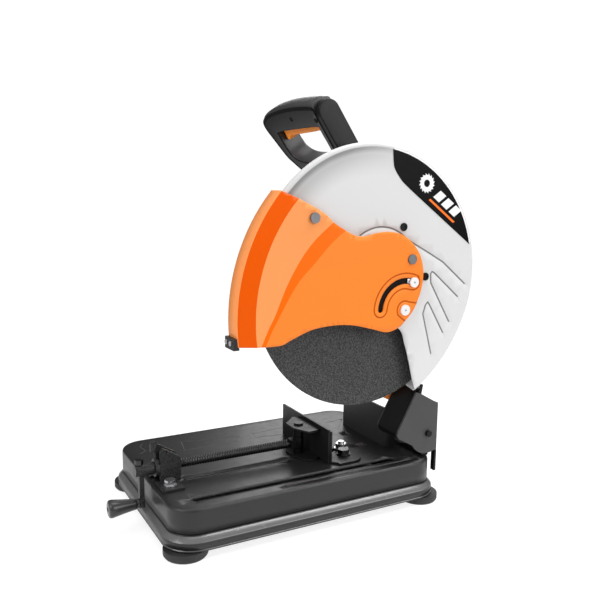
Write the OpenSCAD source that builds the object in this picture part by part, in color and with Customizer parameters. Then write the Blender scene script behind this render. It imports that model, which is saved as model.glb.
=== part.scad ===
// Abrasive chop saw, millimetres. X is the operator's right, front is -Y, Z is up, origin on the floor
// under the middle of the base.

/* [Base] */
// Width of the base top, across X
base_w = 295.2; // [260:1:330]
// Length of the base top, along Y
base_l = 436.2; // [380:1:480]
// Height of the base top above the floor
base_h = 70; // [50:1:90]
// Corner radius of the base top
base_r = 38; // [20:1:60]
// Sheet thickness of the base
base_t = 2.5; // [1.5:0.5:4]
// How far the skirt flares out below the shoulder
flare = 7.3; // [0:0.5:12]
// Radius of a rubber foot
foot_r = 31; // [20:1:36]

/* [Wheel] */
// Wheel radius, half of 355
wheel_r = 177.5; // [100:0.5:180]
// Wheel thickness
wheel_t = 3; // [2:0.1:4]
// Bore radius, half of 25.4
bore_r = 12.7; // [8:0.1:16]
// Middle plane of the wheel
wheel_x = 116.6; // [100:0.1:130]
// Wheel axis along Y
wheel_y = 88.3; // [60:0.1:120]
// Wheel axis height
wheel_z = 347; // [300:0.5:380]
// Radius of the wheel flanges
flange_r = 36; // [25:1:45]

/* [Guards] */
// Outer radius of the upper guard
guard_r = 192; // [185:0.5:210]
// Upper guard centre along Y
guard_y = 92; // [80:0.5:100]
// Upper guard centre height
guard_z = 368; // [350:0.5:380]
// Outer face of the upper guard
guard_x = 136.6; // [130:0.1:145]
// Guard sheet thickness
guard_t = 2; // [1:0.5:4]
// Rim radius of the front guard about its own pivot screw
front_r = 269.5; // [260:0.5:280]
// Outer face of the front guard
front_x = 146; // [140:0.5:152]
// Front guard pivot along Y
fp_y = 143.3; // [130:0.1:155]
// Front guard pivot height
fp_z = 315.3; // [300:0.1:330]
// Radius of the curved slot about the pivot screw
slot_r = 43.7; // [30:0.1:60]

/* [Pivot] */
// Head pivot along Y
piv_y = 202; // [190:0.5:215]
// Head pivot height
piv_z = 112; // [95:0.5:130]
// Shaft radius
shaft_r = 5; // [4:0.5:10]

/* [Vise] */
// Vise screw centre, X
screw_x = 30; // [0:1:60]
// Vise screw height
screw_z = 90; // [80:1:110]
// Vise screw radius
screw_r = 7; // [5:0.5:10]
// Crank length, screw axis to grip axis
crank_l = 50; // [30:1:80]
// Left end of jaw and fence
jaw_x0 = -62; // [-90:1:-30]
// Right end of jaw and fence
jaw_x1 = 91; // [60:1:105]

/* [Handle] */
// Lean of the handle, forward from upright
lean = 35; // [0:1:60]
// Front surface of the handle measured along its own thickness direction
hn0 = 363.3; // [350:0.1:380]
// Rear surface of the handle
hn1 = 399; // [380:0.1:410]

/* [Motor] */
// Motor axis along Y
mot_y = 117.1; // [100:0.1:140]
// Motor axis height
mot_z = 385.4; // [360:0.1:400]
// Motor housing radius
mot_r = 56; // [45:1:65]

/* [Hidden] */
$fn = 96;
cx = base_w / 2 - base_r;
cy = base_l / 2 - base_r;
foot_x = base_w / 2 - 21;
foot_y = base_l / 2 - 21;
wheel_x0 = wheel_x - wheel_t / 2;
wheel_x1 = wheel_x + wheel_t / 2;
gear_r = 46;

// ---------- helpers ----------
// a bar along X from x0 to x1 with a round section
module xcyl(x0, x1, y, z, r) {
  translate([x0, y, z]) rotate([0, 90, 0]) cylinder(h = x1 - x0, r = r);
}
// a bar along Y
module ycyl(y0, y1, x, z, r) {
  translate([x, y1, z]) rotate([90, 0, 0]) cylinder(h = y1 - y0, r = r);
}
module zcyl(z0, z1, x, y, r) {
  translate([x, y, z0]) cylinder(h = z1 - z0, r = r);
}
// a 2D shape drawn in (y, z) pulled out along X from x0 to x1
module yz(x0, x1) {
  translate([x0, 0, 0]) rotate([90, 0, 90]) linear_extrude(height = x1 - x0) children();
}
// a hexagon prism along Z
module hexz(z0, z1, x, y, r) {
  translate([x, y, z0]) linear_extrude(height = z1 - z0)
    polygon([for (i = [0:5]) [r * cos(i * 60 + 15), r * sin(i * 60 + 15)]]);
}
module hexx(x0, x1, y, z, r) {
  translate([x0, y, z]) rotate([0, 90, 0]) linear_extrude(height = x1 - x0)
    polygon([for (i = [0:5]) [r * cos(i * 60 + 15), r * sin(i * 60 + 15)]]);
}
module box(x0, x1, y0, y1, z0, z1) {
  translate([x0, y0, z0]) cube([x1 - x0, y1 - y0, z1 - z0]);
}
module rrect(w, l, r) {
  square([w - 2 * r, l], center = true);
  square([w, l - 2 * r], center = true);
  for (sx = [-1, 1]) for (sy = [-1, 1]) translate([sx * (w / 2 - r), sy * (l / 2 - r)]) circle(r = r);
}
// a profile (distance outwards from the corner centre, height) carried round the base outline
module sweep_base() {
  for (q = [0:3])
    translate([(q == 0 || q == 3) ? cx : -cx, (q < 2) ? cy : -cy, 0]) rotate([0, 0, q * 90])
      rotate_extrude(angle = 90) children();
  translate([cx, cy, 0]) rotate([90, 0, 0]) linear_extrude(height = 2 * cy) children();
  mirror([1, 0, 0]) translate([cx, cy, 0]) rotate([90, 0, 0]) linear_extrude(height = 2 * cy) children();
  translate([-cx, cy, 0]) rotate([90, 0, 90]) linear_extrude(height = 2 * cx) children();
  mirror([0, 1, 0]) translate([-cx, cy, 0]) rotate([90, 0, 90]) linear_extrude(height = 2 * cx) children();
}
module slot2(x, y0, y1, w) {
  translate([x - w / 2, y0 + w / 2]) square([w, y1 - y0 - w]);
  translate([x, y0 + w / 2]) circle(d = w);
  translate([x, y1 - w / 2]) circle(d = w);
}

// ---------- base ----------
module base_holes() {
  slot2(wheel_x, -184, 154, 10);
  slot2(45.5, -170, 4, 6);
  translate([-14, 149]) circle(r = 3);
  translate([43.5, 134]) circle(r = 3);
  translate([61, -196]) circle(r = 4.2);
  translate([-1, -196]) circle(r = 4.2);
  translate([72, 88]) circle(r = 5.2);
  translate([50, 97]) circle(r = 5.2);
}
module base_pan() color([0.16, 0.16, 0.17]) {
  r0 = base_r;
  difference() {
    union() {
      sweep_base() polygon([
        [r0 - base_t, base_h - base_t], [r0 - 2, base_h], [r0, base_h - 2], [r0, 32], [r0 + flare, 25.8],
        [r0 + flare, 11.9], [r0 + flare - base_t, 11.9], [r0 + flare - base_t, 24.6], [r0 - base_t, 30.8]
      ]);
      translate([0, 0, base_h - base_t]) linear_extrude(height = base_t)
        rrect(base_w - 4, base_l - 4, base_r - 2);
      translate([0, 0, base_h]) linear_extrude(height = 1.5) difference() {
        slot2(wheel_x, -185.5, 155.5, 13);
        slot2(wheel_x, -184, 154, 10);
      }
    }
    translate([0, 0, base_h - 5]) linear_extrude(height = 10) base_holes();
    translate([0, 0, base_h - 1]) linear_extrude(height = 2) slot2(132.3, -45, 180, 3);
  }
}
module corner_plates() color([0.2, 0.2, 0.21]) {
  for (sx = [-1, 1]) for (sy = [-1, 1]) mirror([sx < 0 ? 1 : 0, 0, 0]) mirror([0, sy < 0 ? 1 : 0, 0])
    translate([0, 0, 31.2]) linear_extrude(height = 3) difference() {
      intersection() {
        rrect(base_w - 2 * base_t - 0.4, base_l - 2 * base_t - 0.4, base_r - base_t - 0.2);
        translate([foot_x - 30, foot_y - 30]) square([60, 60]);
      }
      translate([foot_x, foot_y]) circle(r = 9);
    }
}
module feet() color([0.05, 0.05, 0.05]) {
  for (sx = [-1, 1]) for (sy = [-1, 1]) translate([sx * foot_x, sy * foot_y, 0])
    rotate_extrude() polygon([
      [4.5, 0], [foot_r - 2, 0], [foot_r, 3], [foot_r, 11.6], [14, 11.6], [14, 24], [10.5, 24], [10.5, 31], [8.9, 31], [8.9, 34.4],
      [11.5, 34.4], [10, 38], [4.5, 38]
    ]);
}

// ---------- fixed rear bracket ----------
module pivot_bracket() color([0.2, 0.2, 0.2]) {
  difference() {
    union() {
      translate([0, 0, base_h + 0.1]) linear_extrude(height = 66) difference() {
        union() {
          translate([-69, 182]) square([137, 32]);
          translate([-59, 171.7]) square([117, 20]);
          translate([-59, 181.7]) circle(r = 10);
          translate([58, 181.7]) circle(r = 10);
        }
        translate([-66, 182]) square([131, 40]);
        translate([-59, 174.7]) square([117, 20]);
        translate([-59, 181.7]) circle(r = 7);
        translate([58, 181.7]) circle(r = 7);
      }
      box(-66.1, -46, 184, 214, base_h + 0.1, base_h + 3.1);
      box(45, 65.1, 184, 214, base_h + 0.1, base_h + 3.1);
    }
    xcyl(-80, 80, piv_y, piv_z, shaft_r + 0.05);
  }
}
module pivot_shaft() color([0.7, 0.7, 0.72]) {
  xcyl(-74, 145, piv_y, piv_z, shaft_r);
}
module shaft_nuts() color([0.6, 0.6, 0.62]) {
  difference() {
    union() {
      xcyl(-74, -69.3, piv_y, piv_z, 9);
      xcyl(68.3, 84.7, piv_y, piv_z, 9);
      xcyl(88.3, 92, piv_y, piv_z, 9);
    }
    xcyl(-80, 150, piv_y, piv_z, shaft_r + 0.01);
  }
}
module return_spring() color([0.5, 0.5, 0.52]) {
  for (i = [0:14]) translate([10 + i * 2.56, piv_y, piv_z]) rotate([0, 90, 0])
    rotate_extrude() translate([7.6, 0]) circle(r = 1.25, $fn = 24);
}

// ---------- vise ----------
module vise_bracket() color([0.12, 0.12, 0.12]) {
  difference() {
    union() {
      for (x = [18, 38]) yz(x, x + 4) polygon([
        [-204, base_h + 0.2], [-173, base_h + 0.2], [-173, 103], [-176, 106.5], [-197, 119.5], [-201, 121],
        [-204, 118]
      ]);
      box(21.9, 38.1, -200, -177, base_h + 6, 105);
      box(41.9, 79, -212, -180, base_h + 0.2, base_h + 3.2);
      box(-19, 18.1, -212, -180, base_h + 0.2, base_h + 3.2);
    }
    ycyl(-220, -150, screw_x, screw_z, screw_r + 0.3);
    box(24, 36, -196, -181, 96, 110);
    translate([61, -196, 60]) cylinder(h = 20, r = 4.2);
    translate([-1, -196, 60]) cylinder(h = 20, r = 4.2);
    xcyl(30, 50, -195, 115, 2);
  }
}
module vise_bolts() color([0.75, 0.75, 0.77]) {
  for (x = [-1, 61]) {
    hexz(base_h + 4.8, base_h + 11.3, x, -196, 8);
    zcyl(base_h + 3.2, base_h + 4.8, x, -196, 9.5);
    zcyl(58, base_h + 5, x, -196, 4);
    hexz(61, 67.3, x, -196, 8);
  }
}
module half_nut() color([0.7, 0.55, 0.25]) {
  difference() {
    box(24.3, 35.7, -195.7, -181.3, 96.6, 108);
    ycyl(-220, -150, screw_x, screw_z, screw_r + 0.4);
  }
}
module release_lever() color([0.1, 0.1, 0.1]) {
  difference() {
    union() {
      ycyl(-210, -204.4, screw_x, screw_z, 13);
      zcyl(screw_z + 11, 116, screw_x, -207.2, 2.5);
      zcyl(115, 128, screw_x, -210, 5.4);
      zcyl(127.9, 130, screw_x, -210, 4);
    }
    ycyl(-212, -200, screw_x, screw_z, 9.6);
  }
}
module vise_screw() color([0.15, 0.15, 0.15]) {
  difference() {
    union() {
      ycyl(-204.35, 12, screw_x, screw_z, screw_r);
      ycyl(11.9, 19.5, screw_x, screw_z, 4.5);
    }
    for (i = [0:40]) translate([screw_x, -170 + i * 4, screw_z]) rotate([90, 0, 0])
      rotate_extrude($fn = 48) polygon([[screw_r - 0.8, 0], [screw_r + 0.2, -1.1], [screw_r + 0.2, 1.1]]);
  }
}
module crank_arm() color([0.45, 0.45, 0.47]) {
  difference() {
    union() {
      ycyl(-238.5, -204.4, screw_x, screw_z, 9);
      box(screw_x - 4, screw_x + 4, -232.5, -225.5, screw_z - crank_l, screw_z);
      ycyl(-232.5, -225.5, screw_x, screw_z - crank_l, 7.5);
      ycyl(-229, -225.5, screw_x, screw_z, 9);
      ycyl(-276, -232.4, screw_x, screw_z - crank_l, 3.5);
    }
    zcyl(screw_z + 3, screw_z + 12, screw_x, -232, 3.2);
  }
}
module crank_nut() color([0.7, 0.7, 0.72]) {
  zcyl(screw_z + 3.2, screw_z + 10, screw_x, -232, 3);
  hexz(screw_z + 9.4, screw_z + 16, screw_x, -232, 6.5);
}
module crank_grip() color([0.08, 0.08, 0.08]) {
  translate([screw_x, -232.8, screw_z - crank_l]) rotate([90, 0, 0]) rotate_extrude() polygon([
    [3.55, 0], [7.2, 0], [7.8, 2], [12.6, 36], [13, 40], [11.5, 43.5], [8, 45], [3.55, 45]
  ]);
}
module jaw_outline() polygon([[-4, 48.4], [-6.5, 37], [16, 13], [44, 13], [68.5, 25], [68.5, 41], [64, 48.4]]);
module swivel_block() color([0.15, 0.15, 0.15]) {
  difference() {
    union() {
      zcyl(screw_z - 9, screw_z + 9, screw_x, 28.5, 8.5);
      box(screw_x - 7, screw_x + 7, 12.2, 28.5, screw_z - 7, screw_z + 7);
    }
    zcyl(60, 130, screw_x, 28.5, 5.05);
    ycyl(0, 20, screw_x, screw_z, 4.55);
  }
}
module jaw_pin() color([0.7, 0.7, 0.72]) {
  zcyl(base_h + 0.7, 121, screw_x, 28.5, 5);
  zcyl(119.9, 122.5, screw_x, 28.5, 7.5);
}
module moving_jaw() color([0.12, 0.12, 0.12]) {
  difference() {
    union() {
      box(jaw_x0, jaw_x1, 48, 51, base_h + 0.8, 125.3);
      translate([0, 0, 116.7]) linear_extrude(height = 3) jaw_outline();
      translate([0, 0, base_h + 0.6]) linear_extrude(height = 3) jaw_outline();
    }
    zcyl(60, 130, screw_x, 28.5, 5.05);
  }
}
module fence() color([0.13, 0.13, 0.13]) {
  difference() {
    union() {
      box(jaw_x0, jaw_x1, 51.8, 55.2, base_h + 0.8, 122);
      translate([0, 0, base_h + 0.3]) linear_extrude(height = 3.2) {
        translate([36, 51.8]) square([54, 30]);
        translate([36, 62]) square([68, 24]);
        translate([61, 62]) square([18, 50]);
        translate([61, 87]) circle(r = 25);
        translate([79, 87]) circle(r = 25);
        translate([79, 77]) circle(r = 25);
      }
    }
    zcyl(60, 80, 72, 88, 5.2);
    translate([72, 88, 60]) rotate([0, 0, 143]) rotate_extrude(angle = 74) translate([18.6, 0]) square([10.4, 30]);
  }
}
module fence_pivot_bolt() color([0.75, 0.75, 0.77]) {
  zcyl(56, base_h + 6, 72, 88, 5);
  zcyl(base_h + 3.6, base_h + 5.4, 72, 88, 11);
  hexz(base_h + 5.4, base_h + 12.4, 72, 88, 9.4);
  hexz(59.5, 67.3, 72, 88, 9.4);
}
module fence_lock_bolt() color([0.75, 0.75, 0.77]) {
  zcyl(56, base_h + 7, 50, 97, 5);
  zcyl(base_h + 3.6, base_h + 6, 50, 97, 11);
  hexz(base_h + 6, base_h + 13.5, 50, 97, 9.4);
  zcyl(base_h + 13.4, base_h + 17, 50, 97, 5);
  hexz(59.5, 67.3, 50, 97, 9.4);
}

// ---------- moving rear chute with its pivot cheeks ----------
module cheek2() {
  difference() {
    union() {
      polygon([
        [186, 178.5], [217, 161], [221, 157], [221, 82], [210, 81], [194, 80.2], [174, 95.3], [153, 107],
        [146, 110.5], [143, 116], [144, 122], [177, 181.5]
      ]);
      translate([piv_y, piv_z]) circle(r = 33);
    }
    translate([piv_y, piv_z]) circle(r = shaft_r + 0.05);
    translate([221, 60]) square([30, 120]);
  }
}
module spark_chute() color([0.25, 0.25, 0.26]) {
  yz(137, 140) cheek2();
  difference() {
    yz(85, 88) cheek2();
    for (p = [[178, 162], [203, 159]]) xcyl(84, 89, p[0], p[1], 4.05);
  }
  difference() {
    yz(87.9, 137.1) polygon([
      [143, 116], [144, 122], [177, 181.5], [180, 180], [147, 120.4], [146.5, 116]
    ]);
    xcyl(87, 95, 178, 162, 7.6);
  }
  box(132, 140, 217.6, 220.9, 47, 160);
  box(85, 93, 217.6, 220.9, 82, 157);
}
module arm_bolts() color([0.6, 0.6, 0.62]) {
  for (p = [[178, 162], [203, 159]]) {
    xcyl(66, 88.2, p[0], p[1], 3.9);
    hexx(88.1, 94, p[0], p[1], 7.5);
    hexx(62.8, 68.9, p[0], p[1], 7.5);
  }
}
module head_arm() color([1, 0.45, 0.05]) {
  difference() {
    yz(69, 84.9) polygon([
      [165, 156], [210, 148], [217, 156], [217, 170], [160, 330], [146, 350], [80, 350], [84, 300],
      [112, 280]
    ]);
    for (p = [[178, 162], [203, 159]]) xcyl(60, 90, p[0], p[1], 4.0);
    xcyl(60, 90, wheel_y, wheel_z, 29);
  }
}

// ---------- gearbox ----------
// the straight-sided neck between the two round ends of the gearbox
module gear_outline(e) {
  translate([wheel_y, wheel_z]) circle(r = gear_r + e);
  translate([mot_y, mot_z]) circle(r = mot_r + e);
}
module gear_housing() color([0.72, 0.72, 0.74]) {
  difference() {
    yz(22, 60) gear_outline(0);
    xcyl(28, 61, wheel_y, wheel_z, gear_r - 4);
    xcyl(28, 61, mot_y, mot_z, mot_r - 4);
    xcyl(20, 30, mot_y, mot_z, 13.05);
    xcyl(24, 30, wheel_y, wheel_z, 11.05);
    ycyl(20, 60, 42, wheel_z - 12, 4.1);
  }
}
module gear_cover() color([0.72, 0.72, 0.74]) {
  difference() {
    union() {
      yz(60.05, 68.9) gear_outline(0);
      xcyl(60.1, 96.9, wheel_y, wheel_z, 28.5);
    }
    xcyl(60, 98, wheel_y, wheel_z, 12.5);
    xcyl(80, 97, wheel_y, wheel_z, 20.05);
    xcyl(60, 66, mot_y, mot_z, 9.05);
  }
}
module spindle() color([0.75, 0.75, 0.77]) {
  difference() {
    union() {
      xcyl(24.2, 108.9, wheel_y, wheel_z, 8);
      xcyl(34, 58, wheel_y, wheel_z, 11);
      xcyl(69, 109, wheel_y, wheel_z, 10);
    }
    xcyl(80, 110, wheel_y, wheel_z, 4.2);
  }
}
module spindle_gear() color([0.6, 0.6, 0.62]) {
  difference() {
    xcyl(36, 56, wheel_y, wheel_z, 37.7);
    xcyl(35, 57, wheel_y, wheel_z, 11.01);
    for (a = [0:45:315]) xcyl(35, 57, wheel_y + 24 * cos(a), wheel_z + 24 * sin(a), 6);
  }
}
module bearings() color([0.8, 0.8, 0.82]) {
  difference() {
    union() {
      xcyl(81, 94, wheel_y, wheel_z, 20);
      xcyl(24.3, 29.5, wheel_y, wheel_z, 11);
      xcyl(22.2, 27.8, mot_y, mot_z, 13);
      xcyl(61, 65.8, mot_y, mot_z, 9);
      xcyl(-124, -117, mot_y, mot_z, 13);
    }
    xcyl(70, 100, wheel_y, wheel_z, 10.05);
    xcyl(24, 30, wheel_y, wheel_z, 8.05);
    xcyl(-130, 28, mot_y, mot_z, 6.05);
    xcyl(60, 67, mot_y, mot_z, 4.05);
  }
}
module inner_flange() color([0.55, 0.55, 0.57]) {
  difference() {
    union() {
      xcyl(109.05, wheel_x0 - 0.02, wheel_y, wheel_z, flange_r);
      xcyl(110, wheel_x1 - 0.3, wheel_y, wheel_z, bore_r - 0.03);
    }
    xcyl(112, wheel_x0 + 0.1, wheel_y, wheel_z, 4.2);
    xcyl(100, 120, wheel_y, wheel_z, 4.2);
    difference() {
      xcyl(113.6, wheel_x0 + 1, wheel_y, wheel_z, 24);
      xcyl(113, wheel_x0 + 2, wheel_y, wheel_z, 16);
    }
  }
}
module abrasive_wheel() color([0.3, 0.3, 0.31]) {
  difference() {
    xcyl(wheel_x0, wheel_x1, wheel_y, wheel_z, wheel_r);
    xcyl(100, 130, wheel_y, wheel_z, bore_r);
  }
}
module outer_flange() color([0.55, 0.55, 0.57]) {
  difference() {
    xcyl(wheel_x1 + 0.02, 124, wheel_y, wheel_z, flange_r);
    xcyl(100, 130, wheel_y, wheel_z, 4.2);
    difference() {
      xcyl(wheel_x1 - 1, wheel_x1 + 1.5, wheel_y, wheel_z, 24);
      xcyl(wheel_x1 - 2, wheel_x1 + 2, wheel_y, wheel_z, 8);
    }
  }
}
module wheel_bolt() color([0.3, 0.3, 0.32]) {
  xcyl(84, 126, wheel_y, wheel_z, 4.15);
  xcyl(124.05, 126, wheel_y, wheel_z, 12);
  hexx(125.9, 133, wheel_y, wheel_z, 9.8);
}

// ---------- motor ----------
module armature_shaft() color([0.7, 0.7, 0.72]) {
  xcyl(-124, 36, mot_y, mot_z, 6);
  xcyl(36, 57, mot_y, mot_z, 9.95);
  xcyl(56.9, 65, mot_y, mot_z, 4);
}
module armature_core() color([0.45, 0.3, 0.2]) {
  difference() {
    xcyl(-84, -36, mot_y, mot_z, 33);
    xcyl(-90, -30, mot_y, mot_z, 6.01);
    for (a = [0:22.5:359]) translate([-90, mot_y, mot_z]) rotate([a, 0, 0]) translate([0, -1.5, 27]) cube([60, 3, 10]);
  }
}
module commutator() color([0.8, 0.45, 0.25]) {
  difference() {
    xcyl(-108, -90, mot_y, mot_z, 15);
    xcyl(-110, -88, mot_y, mot_z, 6.01);
  }
}
module fan() color([0.1, 0.1, 0.1]) {
  difference() {
    union() {
      xcyl(-12, -9, mot_y, mot_z, 46);
      xcyl(-20, -9, mot_y, mot_z, 12);
      for (a = [0:30:330]) translate([-20, mot_y, mot_z]) rotate([a, 0, 0]) translate([0, -1, 11]) cube([10, 2, 34]);
    }
    xcyl(-30, 0, mot_y, mot_z, 6.01);
  }
}
module stator() color([0.5, 0.5, 0.52]) {
  difference() {
    xcyl(-86, -34, mot_y, mot_z, 51);
    xcyl(-90, -30, mot_y, mot_z, 34);
    for (s = [-1, 1]) translate([-90, mot_y + s * 44 - 12, mot_z - 14]) cube([60, 24, 28]);
  }
}
module motor_housing() color([1, 0.45, 0.05]) {
  difference() {
    xcyl(-110, 21.9, mot_y, mot_z, mot_r);
    xcyl(-107, 18, mot_y, mot_z, mot_r - 4.5);
    xcyl(-120, 30, mot_y, mot_z, 18);
    for (s = [-1, 1]) ycyl(mot_y - 70, mot_y + 70, -99, mot_z, 8.05);
    for (a = [20:20:340]) if (a != 180) translate([-6, mot_y, mot_z]) rotate([a, 0, 0]) translate([0, -4, mot_r - 8]) cube([12, 8, 12]);
  }
}
module motor_end_cap() color([0.08, 0.08, 0.08]) {
  difference() {
    xcyl(-136, -110.1, mot_y, mot_z, mot_r - 2);
    xcyl(-131, -109, mot_y, mot_z, mot_r - 6);
    for (i = [-3:3]) if (i != 0) translate([-140, mot_y - 26, mot_z + i * 9 - 2]) cube([12, 52, 4]);
  }
  difference() {
    xcyl(-132, -116.9, mot_y, mot_z, 16);
    xcyl(-124.2, -110, mot_y, mot_z, 13.05);
  }
}
module brush_holders() color([0.1, 0.1, 0.1]) {
  for (s = [-1, 1]) {
    ycyl(s > 0 ? mot_y + 16 : mot_y - 60, s > 0 ? mot_y + 60 : mot_y - 16, -99, mot_z, 8);
  }
}
module lock_button() color([0.1, 0.1, 0.1]) {
  ycyl(39.9, 49.4, 42, wheel_z - 12, 4);
  ycyl(33, 40, 42, wheel_z - 12, 8);
}

// ---------- guards ----------
module guard_outline(e) {
  // the main disc, and below the rear a larger arc that runs down to the tip
  difference() {
    union() {
      translate([guard_y, guard_z]) circle(r = guard_r + e, $fn = 160);
      intersection() {
        translate([46.9, 384.4]) circle(r = guard_r + 48 + e, $fn = 180);
        polygon([[guard_y, guard_z], [guard_y + 282, guard_z - 102.6], [300, 60], [150, 60]]);
      }
    }
    polygon([
      [-300, 392], [20, 335], [90, 297], [139.4, 286.5], [153.7, 258.9], [162.6, 231.3], [169.6, 205.1],
      [177, 180], [190, 60], [-300, 60]
    ]);
  }
}
module rib(y0, z0, y1, z1, w) {
  len = sqrt((y1 - y0) * (y1 - y0) + (z1 - z0) * (z1 - z0));
  a = atan2(z1 - z0, y1 - y0);
  translate([guard_x - 0.2, y0, z0]) rotate([a, 0, 0]) translate([0, 0, -w / 2]) cube([1.0, len, w]);
}
module upper_guard() color([0.86, 0.86, 0.86]) {
  difference() {
    union() {
      yz(112, guard_x) guard_outline(0);
    }
    yz(111, guard_x - guard_t) guard_outline(-guard_t);
    yz(111, 134) translate([0, 0]) polygon([
      [-300, 396], [20, 339], [92, 300], [140.5, 289.5], [156, 259.5], [165, 232], [172, 206], [180, 178],
      [190, 50], [-300, 50]
    ]);
    xcyl(130, 140, 143, 438.6, 3.2);
    xcyl(130, 140, 187, 362.6, 3.2);
    xcyl(130, 140, fp_y, fp_z, 4.2);
    xcyl(130, 140, fp_y + slot_r * cos(70), fp_z + slot_r * sin(70), 3.2);
  }
  rib(151.9, 419.2, 194.5, 397.6, 1.6);
  rib(194.5, 397.6, 220.7, 383.7, 1.6);
  rib(220.7, 383.7, 267.3, 346.9, 1.6);
  rib(201.8, 369, 254.2, 326.9, 1.6);
  rib(198.8, 352.1, 238.2, 288, 1.6);
  rib(201.8, 369, 198.8, 352.1, 1.6);
  rib(194.5, 322.8, 227, 271.3, 1.6);
  rib(185.7, 304.7, 204.7, 239.7, 1.6);
  rib(194.5, 322.8, 185.7, 304.7, 1.6);
  intersection() {
    difference() {
      xcyl(guard_x - 0.2, guard_x + 0.8, 104, 374, 65.8);
      xcyl(guard_x - 1, guard_x + 2, 104, 374, 64.2);
    }
    box(120, 150, 60, 150, 400, 470);
  }
}
module guard_back() color([0.08, 0.08, 0.08]) {
  difference() {
    yz(97, 111.9) guard_outline(-4);
    yz(99, 112) guard_outline(-6);
    yz(98.9, 112) polygon([
      [-300, 396], [20, 339], [92, 300], [140.5, 289.5], [156, 259.5], [165, 232], [172, 206], [180, 178],
      [190, 50], [-300, 50]
    ]);
    xcyl(90, 120, wheel_y, wheel_z, 28);
  }
}
module guard_screws() color([0.05, 0.05, 0.05]) {
  for (p = [[143, 438.6], [187, 362.6]]) {
    xcyl(128, guard_x + 0.2, p[0], p[1], 3.1);
    difference() {
      xcyl(guard_x + 0.05, guard_x + 2, p[0], p[1], 6);
      xcyl(guard_x + 1, guard_x + 3, p[0], p[1], 3.4);
    }
  }
}
module decal_plate() color([0.03, 0.03, 0.03]) {
  yz(guard_x + 0.05, guard_x + 0.55) intersection() {
    translate([guard_y, guard_z]) circle(r = guard_r - 3.5, $fn = 160);
    polygon([
      [121, 560], [122, 545], [124, 529], [129, 519], [138.8, 507.2], [152, 497], [275, 409.5], [320, 400],
      [320, 600], [121, 600]
    ]);
  }
}
// smooth closed outline through control points
function cr(p0, p1, p2, p3, t) = 0.5 * ((2 * p1) + (p2 - p0) * t + (2 * p0 - 5 * p1 + 4 * p2 - p3) * t * t
  + (3 * p1 - p0 - 3 * p2 + p3) * t * t * t);
function smooth(c, n) = [for (i = [1:len(c) - 3]) for (k = [0:n - 1]) cr(c[i - 1], c[i], c[i + 1], c[i + 2], k / n)];
front_top = [
  [-80, 497], [-60, 489], [-2, 462], [22, 444], [50, 429], [70, 427], [90, 431], [113, 432.5], [134, 428],
  [154, 415], [169, 396], [176, 372], [174, 348], [168, 330], [159.5, 313.5], [147, 300], [133, 289],
  [112, 284], [85, 291], [50, 299.5], [17, 301.5], [-16, 298], [-47, 287], [-63, 280.5], [-85, 280],
  [-135, 282]
];
module front_outline() {
  polygon(concat(smooth(front_top, 5), [[-85, 280], [-160, 283], [-160, 420], [-95, 491.5], [-66, 491.5]]));
}
module front_guard() color([1, 0.55, 0.2]) {
  difference() {
    union() {
      intersection() {
        translate([0, fp_y, fp_z]) rotate([0, 90, 0]) rotate_extrude($fn = 240) polygon([
          [0, front_x - 2], [244.9, front_x - 2], [front_r - 2, 137], [front_r - 2, 108.5], [front_r, 108.5],
          [front_r, 138], [245.5, front_x], [0, front_x]
        ]);
        yz(100, 160) front_outline();
      }
    }
    xcyl(130, 150, fp_y, fp_z, 6.05);
    for (a = [70:4:176]) xcyl(130, 150, fp_y + slot_r * cos(a), fp_z + slot_r * sin(a), 3.9);
  }
}
module guard_pivots() color([0.8, 0.8, 0.82]) {
  xcyl(133, guard_x + 0.3, fp_y, fp_z, 4.1);
  xcyl(guard_x + 0.05, front_x + 0.4, fp_y, fp_z, 6);
  xcyl(front_x + 0.35, front_x + 3.2, fp_y, fp_z, 8);
  ay = fp_y + slot_r * cos(70);
  az = fp_z + slot_r * sin(70);
  xcyl(133, front_x + 0.4, ay, az, 3.1);
  xcyl(guard_x + 0.05, front_x - 2.4, ay, az, 6);
  xcyl(front_x + 0.35, front_x + 3.2, ay, az, 7.5);
}
module guard_discs() color([0.6, 0.6, 0.6]) {
  xcyl(front_x + 0.02, front_x + 2.4, -14, 453.5, 7.5);
  xcyl(front_x + 0.02, front_x + 2.4, 154, 391, 7.5);
}
module guard_clip() color([0.05, 0.05, 0.05]) {
  difference() {
    box(107, 136.9, -130.5, -121.9, 277, 293);
    intersection() {
      box(108.4, 138, -140, -110, 280.5, 300);
      difference() {
        xcyl(100, 150, fp_y, fp_z, front_r + 0.1);
        xcyl(100, 150, fp_y, fp_z, front_r - 2.1);
      }
    }
  }
}
module clip_screws() color([0.8, 0.8, 0.82]) {
  for (x = [114, 128]) ycyl(-132.5, -130.6, x, 286, 3.6);
}

// ---------- handle, drawn in its own leaning plane ----------
module hframe(n0, n1) {
  rotate([90 + lean, 0, 0]) translate([0, 0, -n1]) linear_extrude(height = n1 - n0) children();
}
handle_c = [
  [-60, 380], [-76, 396], [-87, 410], [-97, 440], [-104, 464], [-101, 478], [-88, 487], [-62, 493],
  [-20, 496.5], [20, 496.5], [60, 493.5], [74, 490.5], [80, 488]
];
module handle_outline() {
  difference() {
    polygon(concat(smooth(handle_c, 5), [[74, 490.5], [74, 372], [-40, 372], [-60, 380]]));
    polygon(smooth([
      [69, 440], [70, 456.5], [-66, 456.5], [-68.5, 450], [-68, 425], [-62, 410], [-46, 401], [-20, 397],
      [30, 396], [60, 397], [69, 404], [70, 420], [70, 456.5], [-66, 456.5]
    ], 4));
  }
}
module grip_cavity(n0, n1) {
  hframe(n0, n1) polygon([[-60, 456], [-60, 484], [-20, 490], [40, 490], [68, 486], [68, 456]]);
}
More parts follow.
